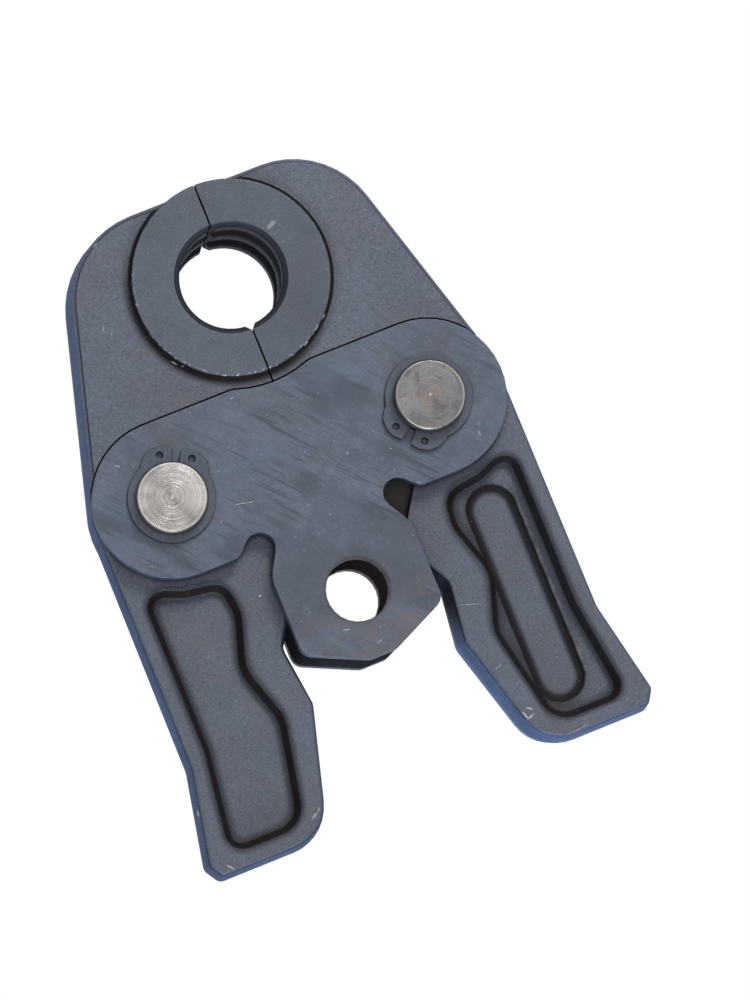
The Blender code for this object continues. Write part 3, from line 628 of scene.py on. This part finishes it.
def foot_shade(look, radius, level, facing):
    """Painted shade in the fillet at the boss's foot and a painted shadow beside it, thickest on the side
    that faces the tails; and the boss's worn rim.
    """
    on_head = look.both(look.near(level, HEAD_HALF, HEAD_CEILING),
                         look.near(level, HEAD_HALF, HEAD_FLOOR))
    # Painted shade in the fillet at the boss's foot
    fillet = look.both(look.near(radius, BOSS_RADIUS, FOOT_FILLET), look.span(facing, *FILLET_LEAN))
    bearing = look.vector("NORMALIZE", look.across(*DIE))
    lee = look.vector("DOT_PRODUCT", bearing, (*LEE, 0.0), output=1)
    # Painted shadow of the boss, thickest on its lee side
    painted_shadow = look.both(look.near(radius, BOSS_RADIUS, FOOT_SHADOW), look.span(lee, *SHADOW_LEE))
    worn_rim = look.both(look.near(radius, BOSS_RADIUS, WORN_RIM), look.span(lee, *WORN_LEE))
    return look.both(on_head, look.either(fillet, painted_shadow)), worn_rim


def boss_colour(look, grain):
    """Machined boss: hatched on its left half, faintly turned, mottled by handling; and its lines."""
    hatch = look.wave(look.placed((*DIE, 0.0), HATCH_TURN), *BOSS_HATCH)
    turning = look.wave(look.across(*DIE), *BOSS_TURNING, wave_type="RINGS",
                         rings_direction="SPHERICAL")
    x = look.split(look.here)[0]
    lines = look.math("ADD", look.both(hatch, look.span(x, *LEFT_HALF)), look.both(turning, 0.3))
    colour = look.tone(BOSS_STEEL, look.noise(*BOSS_CLOUD), 0.58, 1.42)
    colour = look.tone(colour, lines, 0.84, 1.16)
    return look.tone(colour, grain, 0.60, 1.40), lines


def bore_colour(look, radius, level):
    """Pressing contour: painted shade on its lands and groove, and a mouth painted darker inward as shade,
    with a dark line at its outer edge.
    """
    painted_shade = look.tone(BORE_SHADE, look.noise(*BORE_SHADE_CLOUD), 0.4, 1.7)
    mouth = look.mix(look.near(radius, DIE_RADIUS, MOUTH_SHADE), MOUTH_OUTER, MOUTH_INNER)
    line = look.size(look.less(radius, DIE_RADIUS + DIE_MOUTH))
    mouth = look.mix(look.both(look.span(line, *MOUTH_LINE), 0.7), mouth, MOUTH_EDGE)
    return look.mix(look.near(level, BOSS_HALF, MOUTH_LEVEL), painted_shade, mouth)


def flank_colour(look, base, x, z):
    """Blued flanks, their blue partly a painted reflection, painted lighter towards the right and towards
    the rear.
    """
    colour = look.tone(base, look.patches(*FLANK_CLOUD), 0.78, 1.22)
    colour = look.tone(colour, look.noise(*FLANK_GRAIN), 0.40, 1.60)
    colour = look.tone(colour, look.span(x, *FLANK_SIDES), 0.78, 1.25)
    return look.tone(colour, look.span(z, *FLANK_LEVELS), 0.72, 1.45)


def pocket_shade(look, facing):
    """Soft painted shade on a pocket's walls and in its fillets."""
    in_pocket = look.add("ShaderNodeAttribute", attribute_name=HOLLOW).outputs["Fac"]
    soft = look.span(soft_slope(look, BAND_REACH), *POCKET_SOFT_LEAN)
    sloping = look.either(look.span(facing, *POCKET_LEAN), look.both(soft, 0.66))
    return look.both(in_pocket, sloping)


def forged_material(finish, detail):
    """Blackened forging: blasted grain, blued flanks with a painted blue reflection, painted shade in the
    pockets, bore and corners, machined boss, worn edges with a painted highlight.
    """
    look = Look("blackened_forging", finish.forged)
    facing = slope(look)
    radius = look.length(look.across(*DIE))
    x, y, z = look.split(look.here)
    level = look.size(look.less(z, MID_Z))
    grain = look.noise(*GRAIN)

    look.weather(FORGED_TONES, FORGED_PATCHES)
    look.paint(FORGED_HAIR, look.streaks(*FORGED_HAIRS), 0.22)
    boss = look.both(look.near(level, HEAD_HALF, BOSS_FACE), look.span(facing, *BOSS_LEAN))
    smooth_face, lines = boss_colour(look, grain)
    look.paint(smooth_face, boss, 0.8)
    # Painted shade, brownish, on the sunk step in the notch beside the plate
    step = look.both(look.near(look.size(x), STEP_REACH, STEP_SIDE),
                      look.near(level, RECESS_LEVEL, STEP_SUNK))
    look.paint(STEP_SHADE_BROWN, step, 0.8)
    # Steep sides: blued steel with a painted blue reflection, painted lighter towards the right and the rear
    rim = look.span(facing, *FLANK_LEAN)
    look.paint(flank_colour(look, finish.flank, x, z), rim)
    # Painted shade on the arms' inner flanks behind the plates' tongue
    beside_tongue = look.both(look.span(y, *BEHIND_TONGUE), look.span(y, *BELOW_HEAD))
    beside_tongue = look.both(beside_tongue, look.span(look.size(x), *BETWEEN_ARMS))
    upright = look.span(facing, *TONGUE_SIDE_LEAN)
    look.paint(TONGUE_SHADE, look.both(beside_tongue, upright))

    recess, glint = recess_shade(look, level)
    foot, worn_rim = foot_shade(look, radius, level, facing)
    # Painted shade: the scale colour laid on the pockets' slopes, in the recess and at the boss's foot
    dark = look.either(look.both(pocket_shade(look, facing), 0.95), look.both(recess, 0.9), foot)
    look.paint(finish.scale, dark)
    # Painted shade inside the die's bore
    in_bore = look.both(look.near(radius, DIE_RADIUS, BORE_WALL), look.span(facing, *BORE_LEAN))
    look.paint(bore_colour(look, radius, level), in_bore)
    # Painted shade: the scale colour laid where ambient occlusion finds a corner
    corner_shade = look.corners(FORGED_CORNER_SHADE)
    look.paint(finish.scale, corner_shade, 0.75)

    edge, rounded = look.edges(detail.edge_radius)
    # Worn edges with a painted highlight, in bare steel
    wear_and_glint = look.patches(*FORGED_WEAR_AND_GLINT)
    look.paint(finish.bare, look.both(edge, wear_and_glint), 0.30)
    chipped = look.both(look.patches(*FORGED_CHIPS), worn_rim)
    chipped = look.both(chipped, look.near(level, HEAD_HALF, CHIPPED_RIM))
    speck = look.both(look.patches(*FORGED_SPECKS), 0.30)
    # Painted highlight along the recess's outer rim, laid in bare steel
    recess_glint = look.both(look.both(glint, wear_and_glint), 0.16)
    nick = look.either(look.nicks(ARM_NICKS), speck, look.both(chipped, 0.7), recess_glint)
    look.paint(finish.bare, nick)

    rough = look.less(look.span(grain, *FORGED_ROUGH), look.both(boss, 0.06))
    height = look.math("ADD", look.both(grain, 0.55), look.both(look.noise(*PITS), 0.9))
    height = look.both(height, look.less(1.0, look.both(boss, 0.72)))
    height = look.math("ADD", height, look.both(look.both(lines, boss), 0.25))
    painted_shade_spots = look.either(dark, look.both(in_bore, 0.6), corner_shade)
    sheen = look.both(rim, look.less(1.0, painted_shade_spots))
    matte = look.either(painted_shade_spots, rim)
    look.feed(look.shader.inputs["Specular IOR Level"], look.span(matte, 0.0, 1.0, 0.45, 0.02))
    look.feed(look.shader.inputs["Specular Tint"], look.mix(sheen, (1.0, 1.0, 1.0), BLUE_SHEEN))
    metal = look.math("ADD", look.span(matte, 0.0, 1.0, 0.35, 0.0), look.both(sheen, 0.60))
    return look.finish(rough, metal, look.bump(height, finish.grain * 1.6, rounded))


def smudge_mask(look):
    """Oily strokes along one slant, crowded in patches."""
    strokes = []
    for scale, turn, narrow, low, strength in SMUDGES:
        stroke = look.streaks((scale, *SMUDGE_NOISE), SMUDGE_CENTRE, turn, narrow, low, low + SMUDGE_FADE)
        strokes.append(look.both(stroke, strength))
    return look.both(look.either(*strokes), look.patches(*PLATE_CROWD))


def plate_material(finish, detail):
    """Blackened ground plate: oily smudges along one slant, fine scratches, thin blue edges partly a painted
    reflection with a painted highlight, and painted shade on the inner faces and in corners.
    """
    look = Look("blackened_plate", finish.plate)
    facing = slope(look)
    mottle = look.noise(*PLATE_MOTTLE)
    grain = look.noise(*PLATE_GRAIN)
    look.weather(PLATE_TONES, PLATE_PATCHES)
    smudges = smudge_mask(look)
    look.paint(SMUDGE, smudges)
    scratch = look.both(look.streaks(*PLATE_HAIRS), 0.40)
    look.paint(PLATE_HAIR, scratch)

    y, z = look.split(look.here)[1:]
    # Darker over the tongue
    tongue = look.both(look.span(y, *TONGUE_TOP), look.span(y, *TONGUE_FOOT))
    look.paint(TONGUE_DARK, tongue, 0.30)
    brown = look.both(look.span(y, *TONGUE_END), look.patches(*PLATE_BROWN))
    look.paint(TONGUE_BROWN, brown, 0.55)
    # Plate sides: blue, partly a painted reflection
    upright = look.span(facing, *PLATE_EDGE_LEAN)
    look.paint(look.tone(PLATE_EDGE_BLUE, mottle, 0.40, 1.60), upright)
    from_hole = look.length(look.across(*TOOL_HOLE))
    in_hole = look.near(from_hole, TOOL_HOLE_RADIUS, HOLE_WALL)
    in_hole = look.both(in_hole, look.span(facing, *HOLE_LEAN))
    # Dark brown on the tool hole's wall
    look.paint(look.tone(HOLE_WALL_BROWN, mottle, 0.4, 1.6), in_hole)
    # Painted shade on the plates' inner faces between the arms, browner near the tool hole
    inner = look.near(look.size(look.less(z, MID_Z)), INNER_FACE, INNER_SIDE)
    hidden = look.mix(look.span(from_hole, *HOLE_RING), INNER_SLATE, INNER_BROWN)
    look.paint(look.tone(hidden, mottle, 0.4, 1.6), inner)

    # Painted shade: the scale colour laid where ambient occlusion finds a corner
    corner_shade = look.corners(PLATE_CORNER_SHADE)
    look.paint(finish.scale, corner_shade, 0.70)
    edge, rounded = look.edges(detail.edge_radius)
    edge = look.both(edge, look.less(1.0, in_hole))
    # Painted highlight along the plates' edges
    look.paint(EDGE_GLINT_BLUE, look.both(edge, look.patches(*PLATE_EDGE_GLINT)))
    speck = look.both(look.patches(*PLATE_SPECKS), 0.40)
    look.paint(finish.bare, look.either(look.nicks(PLATE_NICKS), speck))

    rough = look.less(look.span(mottle, *PLATE_ROUGH), look.both(smudges, 0.10))
    height = look.math("ADD", look.both(mottle, 0.6), look.both(grain, 0.7))
    height = look.less(height, look.both(scratch, 1.5))
    dark = look.either(corner_shade, inner, in_hole, upright)
    look.feed(look.shader.inputs["Specular IOR Level"], look.span(dark, 0.0, 1.0, 0.45, 0.02))
    metal = look.span(dark, 0.0, 1.0, 0.38, 0.0)
    return look.finish(rough, metal, look.bump(height, PLATE_RELIEF, rounded))


def pin_material(finish, name, x, tint, rings, stains):
    """Turned pin: concentric lathe marks on its ends with a painted highlight along one bearing, a bright
    rim, a painted highlight at the centre, brown stains, and painted shade on its side and in corners.
    """
    look = Look(name, tint)
    about = look.across(x, PIVOT_Y)
    radius = look.length(about)
    only_radius = look.add("ShaderNodeCombineXYZ", {0: radius}).outputs[0]
    fine = look.span(look.noise(*PIN_FINE, vector=only_radius), 0.30, 0.70)
    bands = look.noise(*PIN_BANDS, vector=only_radius)
    blotch = look.noise(*PIN_BLOTCH)
    cloud = look.noise(*PIN_CLOUD)
    scoured = look.placed((x, PIVOT_Y, 0.0), SCOUR_TURN, SCOUR_STRETCH)
    scour = look.noise(*PIN_SCOUR, vector=scoured)
    # Painted highlight: the turned rings lit brighter along one bearing
    shine_sector = look.vector("DOT_PRODUCT", look.vector("NORMALIZE", about), SHINE_BEARING, output=1)
    shine_sector = look.span(look.both(shine_sector, shine_sector), 0.35, 1.0)

    look.shade(fine, 1.0 - 0.42 * rings, 1.0 + 0.42 * rings)
    look.shade(bands, 1.0 - 0.40 * rings, 1.0 + 0.40 * rings)
    look.shade(shine_sector, 0.92, 1.0 + 0.28 * rings)
    look.shade(scour, 0.80, 1.20)
    look.shade(look.span(cloud, 0.32, 0.68), 0.78, 1.22)
    look.paint(PIN_STAIN, look.span(blotch, 0.50, 0.66), stains)
    rusty = look.both(look.span(cloud, 0.46, 0.60), look.both(look.span(radius, *PIN_MIDDLE), 0.50))
    look.paint(PIN_RUST, rusty)
    # Painted highlight at the pin's centre
    look.paint(PIN_CENTRE_GLINT, look.span(radius, *PIN_CENTRE), 0.8)
    rim = look.both(look.near(radius, PIN_RADIUS, PIN_RIM), look.span(cloud, 0.66, 0.42))
    look.paint(PIN_BRIGHT, rim, 0.60)
    # Painted shade on the pin's chamfer and side
    side = look.both(look.near(radius, PIN_RADIUS, PIN_SIDE), 0.88)
    look.paint(look.tone(PIN_SIDE_SHADE, blotch, 0.5, 1.5), side)
    # Painted shade in the corners around the pin
    look.paint(finish.scale, look.corners(PIN_CORNER_SHADE), 0.80)
    rough = look.span(blotch, *PIN_ROUGH)
    height = look.math("ADD", look.both(fine, rings), look.both(scour, 0.35))
    return look.finish(rough, 0.75, look.bump(height, PIN_RELIEF))


def ring_material(finish, detail):
    """Phosphated retaining ring: painted shade on its upright sides and in corners, and rubbed edges with a
    painted highlight.
    """
    look = Look("phosphated_ring", finish.ring)
    mottle = look.noise(*RING_MOTTLE)
    look.shade(mottle, 0.60, 1.40)
    # Painted shade on the ring's upright sides
    upright = look.span(slope(look), *RING_EDGE_LEAN)
    look.paint(finish.scale, upright, 0.85)
    # Painted shade in the corners around the ring
    look.paint(finish.scale, look.corners(RING_CORNER_SHADE), 0.85)
    edge, rounded = look.edges(detail.edge_radius * 0.6)
    # Worn edges with a painted highlight, in bare steel
    wear_and_glint = look.both(look.both(edge, look.patches(*RING_WEAR_AND_GLINT)), 0.35)
    look.paint(finish.bare, wear_and_glint)
    rough = look.span(mottle, *RING_ROUGH)
    return look.finish(rough, 0.45, look.bump(mottle, FINE_RELIEF, rounded))


def spring_material():
    """Oiled spring wire with drawing lines and painted shade in its corners."""
    look = Look("oiled_wire", WIRE_STEEL)
    mottle = look.noise(*WIRE_MOTTLE)
    drawn = look.noise(*WIRE_DRAWN, vector=look.placed((0.0, 0.0, 0.0), stretch=WIRE_STRETCH))
    look.shade(mottle, 0.55, 1.35)
    look.shade(drawn, 0.85, 1.15)
    # Painted shade where the wire lies close to other parts
    look.paint(WIRE_SHADE, look.corners(WIRE_CORNER_SHADE), 0.7)
    rough = look.span(mottle, *WIRE_ROUGH)
    return look.finish(rough, 0.8, look.bump(drawn, FINE_RELIEF))


def only(thing):
    """Select one object and make it active."""
    bpy.ops.object.select_all(action="DESELECT")
    thing.select_set(True)
    bpy.context.view_layer.objects.active = thing


def in_edit_mode(thing, steps):
    """Run edit-mode steps on the whole of one object."""
    only(thing)
    bpy.ops.object.mode_set(mode="EDIT")
    bpy.ops.mesh.select_mode(type="EDGE")
    bpy.ops.mesh.select_all(action="SELECT")
    for step in steps:
        step()
    bpy.ops.object.mode_set(mode="OBJECT")


def apply_modifiers(thing):
    """Apply every modifier in order."""
    only(thing)
    for modifier in list(thing.modifiers):
        bpy.ops.object.modifier_apply(modifier=modifier.name)


def copied(node, name, detail):
    """Piece on a CAD node's own shape, with its loose triangles joined into clean faces."""
    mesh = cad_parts[node].data.copy()
    mesh.name = name
    mesh.materials.clear()
    thing = bpy.data.objects.new(name, mesh)
    bpy.context.scene.collection.objects.link(thing)
    only(thing)
    if mesh.has_custom_normals:
        bpy.ops.mesh.customdata_custom_splitnormals_clear()
    in_edit_mode(thing, [
        lambda: bpy.ops.mesh.remove_doubles(threshold=detail.weld),
        lambda: bpy.ops.mesh.dissolve_limited(angle_limit=FLATNESS),
        lambda: bpy.ops.mesh.normals_make_consistent(inside=False),
    ])
    return thing


def inside(point, corners):
    """Whether a point lies in a closed outline."""
    x, y = point
    crossed = False
    for (x1, y1), (x2, y2) in zip(corners, corners[1:] + corners[:1]):
        if (y1 > y) != (y2 > y) and x < x1 + (y - y1) * (x2 - x1) / (y2 - y1):
            crossed = not crossed
    return crossed


def mark_pockets(thing, side):
    """Mask of an arm's pockets, kept on its corners."""
    middle = [sum(values) / len(POCKET) for values in zip(*POCKET)]
    grown = [tuple(m + (c - m) * POCKET_MARGIN for c, m in zip(corner, middle)) for corner in POCKET]
    mask = thing.data.attributes.new(HOLLOW, "FLOAT", "POINT")
    for vertex, value in zip(thing.data.vertices, mask.data):
        value.value = inside((side * vertex.co.x - PIVOT_X, vertex.co.y - PIVOT_Y), grown)


def rounded_edges(thing, width, angle):
    """Bevel an object's sharp edges."""
    bevel = thing.modifiers.new("Bevel", "BEVEL")
    bevel.width = width
    bevel.segments = 2
    bevel.limit_method = "ANGLE"
    bevel.angle_limit = angle
    bevel.use_clamp_overlap = True
    bevel.miter_outer = "MITER_ARC"
    apply_modifiers(thing)


def shaded(thing, detail):
    """Smooth shading that keeps flat faces flat."""
    only(thing)
    bpy.ops.object.shade_smooth_by_angle(angle=detail.smooth_angle)
    weighted = thing.modifiers.new("Weighted Normal", "WEIGHTED_NORMAL")
    weighted.keep_sharp = True
    weighted.weight = FACE_WEIGHT
    apply_modifiers(thing)


def attach(thing, node, body, material):
    """Give a piece its material and let it stand for its CAD node."""
    thing.data.materials.append(material)
    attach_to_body(thing, body)
    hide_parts(node)


class JAW_OT_forged_arms(bpy.types.Operator):
    """Dress the two forged arms"""

    bl_idname = "jaw.forged_arms"
    bl_label = "Forged Arms"
    bl_options = {"REGISTER", "UNDO"}

    def execute(self, context):
        finish, detail = context.scene.jaw_finish, context.scene.jaw_detail
        steel = forged_material(finish, detail)
        for side, sign in (("left", -1), ("right", 1)):
            arm = copied(side + "_jaw_arm", side + "_forged_arm", detail)
            mark_pockets(arm, sign)
            shaded(arm, detail)
            attach(arm, side + "_jaw_arm", side + "_arm", steel)
        return {"FINISHED"}


class JAW_OT_side_plates(bpy.types.Operator):
    """Dress the front and rear side plates"""

    bl_idname = "jaw.side_plates"
    bl_label = "Side Plates"
    bl_options = {"REGISTER", "UNDO"}

    def execute(self, context):
        finish, detail = context.scene.jaw_finish, context.scene.jaw_detail
        steel = plate_material(finish, detail)
        for face in ("front", "rear"):
            plate = copied(face + "_side_plate", face + "_plate", detail)
            rounded_edges(plate, detail.plate_edge, PLATE_CREASE)
            shaded(plate, detail)
            attach(plate, face + "_side_plate", "side_plates", steel)
        return {"FINISHED"}


class JAW_OT_pivot_pins(bpy.types.Operator):
    """Turn the two pivot pins"""

    bl_idname = "jaw.pivot_pins"
    bl_label = "Pivot Pins"
    bl_options = {"REGISTER", "UNDO"}

    def execute(self, context):
        finish, detail = context.scene.jaw_finish, context.scene.jaw_detail
        core = PIN_RADIUS - GROOVE_DEPTH
        half = [(0.0, PIN_HALF - PIN_DIMPLE), (PIN_DIMPLE, PIN_HALF), (PIN_RADIUS - CHAMFER_START, PIN_HALF)]
        half += [(PIN_RADIUS - CHAMFER, PIN_HALF - CHAMFER_EASE)]
        half += [(PIN_RADIUS - CHAMFER_EASE, PIN_HALF - CHAMFER), (PIN_RADIUS, PIN_HALF - CHAMFER_START)]
        half += [(PIN_RADIUS, GROOVE_OUT), (core, GROOVE_OUT), (core, GROOVE_IN), (PIN_RADIUS, GROOVE_IN)]
        profile = half + [(radius, -z) for radius, z in reversed(half)]
        for side, x, tint, rings, stains in PIN_LOOKS:
            mesh = bpy.data.meshes.new(side + "_turned_pin")
            points = [(x + radius, PIVOT_Y, MID_Z + z) for radius, z in profile]
            mesh.from_pydata(points, [(i, i + 1) for i in range(len(points) - 1)], [])
            pin = bpy.data.objects.new(side + "_turned_pin", mesh)
            context.scene.collection.objects.link(pin)
            in_edit_mode(pin, [
                lambda: bpy.ops.mesh.spin(steps=detail.pin_steps, angle=2 * math.pi,
                                          center=(x, PIVOT_Y, MID_Z), axis=(0.0, 0.0, 1.0)),
                lambda: bpy.ops.mesh.select_all(action="SELECT"),
                lambda: bpy.ops.mesh.remove_doubles(threshold=detail.weld),
                lambda: bpy.ops.mesh.normals_make_consistent(inside=False),
            ])
            shaded(pin, detail)
            tint = tint or finish.turned
            steel = pin_material(finish, side + "_turned_steel", x, tint, rings, stains)
            attach(pin, side + "_pivot_pin", "side_plates", steel)
        return {"FINISHED"}


class JAW_OT_retaining_rings(bpy.types.Operator):
    """Dress the four retaining rings"""

    bl_idname = "jaw.retaining_rings"
    bl_label = "Retaining Rings"
    bl_options = {"REGISTER", "UNDO"}

    def execute(self, context):
        finish, detail = context.scene.jaw_finish, context.scene.jaw_detail
        steel = ring_material(finish, detail)
        for face in ("front", "rear"):
            for side in ("left", "right"):
                node = face + "_" + side + "_retaining_ring"
                ring = copied(node, face + "_" + side + "_ring", detail)
                rounded_edges(ring, detail.ring_edge, RING_CREASE)
                shaded(ring, detail)
                attach(ring, node, "side_plates", steel)
        return {"FINISHED"}


def spring_route():
    """Wire centre line: rear leg, clockwise coil rising towards the front, front leg."""
    reach = math.dist(LEG_TIP, (0.0, SPRING_Y))
    lean = math.atan2(LEG_TIP[1] - SPRING_Y, LEG_TIP[0])
    leave = lean + math.acos(SPRING_RADIUS / reach)
    sweep = math.pi - 2 * leave + 2 * math.pi * SPRING_TURNS
    rise = COIL_PITCH * sweep / (2 * math.pi)
    steps = COIL_STEPS * SPRING_TURNS
    route = [(-LEG_TIP[0], LEG_TIP[1], -rise / 2)]
    for i in range(steps + 1):
        turn = math.pi - leave - sweep * i / steps
        route.append((SPRING_RADIUS * math.cos(turn), SPRING_Y + SPRING_RADIUS * math.sin(turn),
                      rise * (i / steps - 0.5)))
    return route + [(LEG_TIP[0], LEG_TIP[1], rise / 2)]


def wire(context, name, route):
    """Round wire along a route about the pivots' line and the mid-plane."""
    detail = context.scene.jaw_detail
    curve = bpy.data.curves.new(name, "CURVE")
    curve.dimensions = "3D"
    curve.bevel_depth = SPRING_WIRE / 2
    curve.bevel_resolution = detail.wire_sides
    curve.use_fill_caps = True
    spline = curve.splines.new("POLY")
    spline.points.add(len(route) - 1)
    for point, (x, y, z) in zip(spline.points, route):
        point.co = (x, y + PIVOT_Y, z + MID_Z, 1.0)
    thing = bpy.data.objects.new(name, curve)
    context.scene.collection.objects.link(thing)
    only(thing)
    bpy.ops.object.convert(target="MESH")
    thing = context.view_layer.objects.active
    shaded(thing, detail)
    return thing


def leg_route(root, tip):
    """Straight leg from the coil to its tip, in short steps."""
    steps = [i / LEG_STEPS for i in range(LEG_STEPS + 1)]
    return [tuple(a + (b - a) * step for a, b in zip(root, tip)) for step in steps]


class JAW_OT_spring(bpy.types.Operator):
    """Wind the jaw spring and its two legs"""

    bl_idname = "jaw.spring"
    bl_label = "Jaw Spring"
    bl_options = {"REGISTER", "UNDO"}

    def execute(self, context):
        steel = spring_material()
        route = spring_route()
        coil = wire(context, "jaw_coil", route[1:-1])
        attach(coil, "jaw_spring", "side_plates", steel)
        legs = (("left", route[1], route[0]), ("right", route[-2], route[-1]))
        for side, root, tip in legs:
            leg = wire(context, side + "_spring_leg", leg_route(root, tip))
            leg.data.materials.append(steel)
            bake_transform(leg)
            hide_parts("jaw_spring")
        return {"FINISHED"}


class JAW_OT_studio(bpy.types.Operator):
    """Set up the floor, lamps, sky and camera"""

    bl_idname = "jaw.studio"
    bl_label = "Studio"
    bl_options = {"REGISTER", "UNDO"}

    def execute(self, context):
        settings = context.scene.jaw_studio
        add_floor()
        for name, place, size, power, colour in LAMPS:
            add_lamp(context, name, place, size, power, colour)
        add_sky(context, settings)
        add_camera(context, settings)
        context.scene.view_settings.view_transform = "Standard"
        return {"FINISHED"}


def seen_directly(nodes, links):
    """One for rays that show the background: from the camera, a mirror or glass."""
    path = nodes.new("ShaderNodeLightPath")
    total = path.outputs["Is Camera Ray"]
    for name in ("Is Glossy Ray", "Is Transmission Ray"):
        add = nodes.new("ShaderNodeMath")
        add.operation = "ADD"
        add.use_clamp = True
        links.new(total, add.inputs[0])
        links.new(path.outputs[name], add.inputs[1])
        total = add.outputs[0]
    return total


def show_white(tree, end, kind, colour, white):
    """Shader that lights with a pale colour and shows plain white; returns the node that lights."""
    nodes, links = tree.nodes, tree.links
    nodes.clear()
    light = nodes.new(kind)
    light.inputs["Color"].default_value = colour
    blend = nodes.new("ShaderNodeMixShader")
    links.new(seen_directly(nodes, links), blend.inputs[0])
    links.new(light.outputs[0], blend.inputs[1])
    links.new(nodes.new(white).outputs[0], blend.inputs[2])
    links.new(blend.outputs[0], nodes.new(end).inputs["Surface"])
    return light


def add_floor():
    """Pale floor, plain white where the camera sees it."""
    bpy.ops.object.select_all(action="DESELECT")
    bpy.ops.mesh.primitive_plane_add(size=FLOOR_SIZE, location=(0.0, 0.0, FLOOR_Z))
    floor = bpy.context.view_layer.objects.active
    floor.name = "studio_floor"
    material = bpy.data.materials.new("pale_floor")
    material.use_nodes = True
    show_white(material.node_tree, "ShaderNodeOutputMaterial", "ShaderNodeBsdfDiffuse", FLOOR_PAPER,
               "ShaderNodeEmission")
    floor.data.materials.append(material)


def add_lamp(context, name, place, size, power, colour):
    """Soft square lamp that points at the jaw."""
    bpy.ops.object.light_add(type="AREA", location=place)
    lamp = context.view_layer.objects.active
    lamp.name = name
    lamp.data.size = size
    lamp.data.energy = power
    lamp.data.color = colour
    aim = Vector((0.0, PIVOT_Y, MID_Z)) - Vector(place)
    lamp.rotation_euler = aim.to_track_quat("-Z", "Y").to_euler()


def add_sky(context, settings):
    """Even light all round, and plain white where the camera sees past the floor."""
    world = bpy.data.worlds.new("studio_sky")
    context.scene.world = world
    world.use_nodes = True
    light = show_white(world.node_tree, "ShaderNodeOutputWorld", "ShaderNodeBackground", SKY_TINT,
                       "ShaderNodeBackground")
    light.inputs["Strength"].default_value = settings.sky


def add_camera(context, settings):
    """Camera at the photograph's viewing angle."""
    turn = Euler(settings.tilt, "XYZ").to_matrix().transposed()
    away = Vector((-settings.shift[0], -settings.shift[1], settings.distance))
    bpy.ops.object.camera_add(location=turn @ away + Vector((0.0, PIVOT_Y, MID_Z)))
    camera = context.view_layer.objects.active
    camera.name = "photo_camera"
    camera.rotation_euler = turn.to_euler()
    camera.data.lens = settings.lens
    camera.data.clip_end = VIEW_END
    context.scene.camera = camera


class JAW_PT_looks(bpy.types.Panel):
    """Sidebar panel with every step and its settings"""

    bl_idname = "JAW_PT_looks"
    bl_label = "Press Jaw"
    bl_space_type = "VIEW_3D"
    bl_region_type = "UI"
    bl_category = "Press Jaw"

    def draw(self, context):
        layout = self.layout
        for operator in OPERATORS:
            layout.operator(operator.bl_idname)
        for label, settings in (("Finish", context.scene.jaw_finish), ("Detail", context.scene.jaw_detail),
                                ("Studio", context.scene.jaw_studio)):
            box = layout.box()
            box.label(text=label)
            for key in settings.bl_rna.properties.keys():
                if key not in ("rna_type", "name"):
                    box.prop(settings, key)


OPERATORS = (JAW_OT_forged_arms, JAW_OT_side_plates, JAW_OT_pivot_pins, JAW_OT_retaining_rings,
             JAW_OT_spring, JAW_OT_studio)
SETTINGS = (("jaw_finish", JawFinishSettings), ("jaw_detail", JawDetailSettings),
            ("jaw_studio", JawStudioSettings))


def register():
    for name, group in SETTINGS:
        bpy.utils.register_class(group)
        setattr(bpy.types.Scene, name, bpy.props.PointerProperty(type=group))
    for operator in OPERATORS:
        bpy.utils.register_class(operator)
    bpy.utils.register_class(JAW_PT_looks)


def unregister():
    bpy.utils.unregister_class(JAW_PT_looks)
    for operator in reversed(OPERATORS):
        bpy.utils.unregister_class(operator)
    for name, group in reversed(SETTINGS):
        delattr(bpy.types.Scene, name)
        bpy.utils.unregister_class(group)


def main():
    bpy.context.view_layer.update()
    register()
    bpy.ops.jaw.forged_arms()
    bpy.ops.jaw.side_plates()
    bpy.ops.jaw.pivot_pins()
    bpy.ops.jaw.retaining_rings()
    bpy.ops.jaw.spring()
    bpy.ops.jaw.studio()


if __name__ == "__main__":
    main()
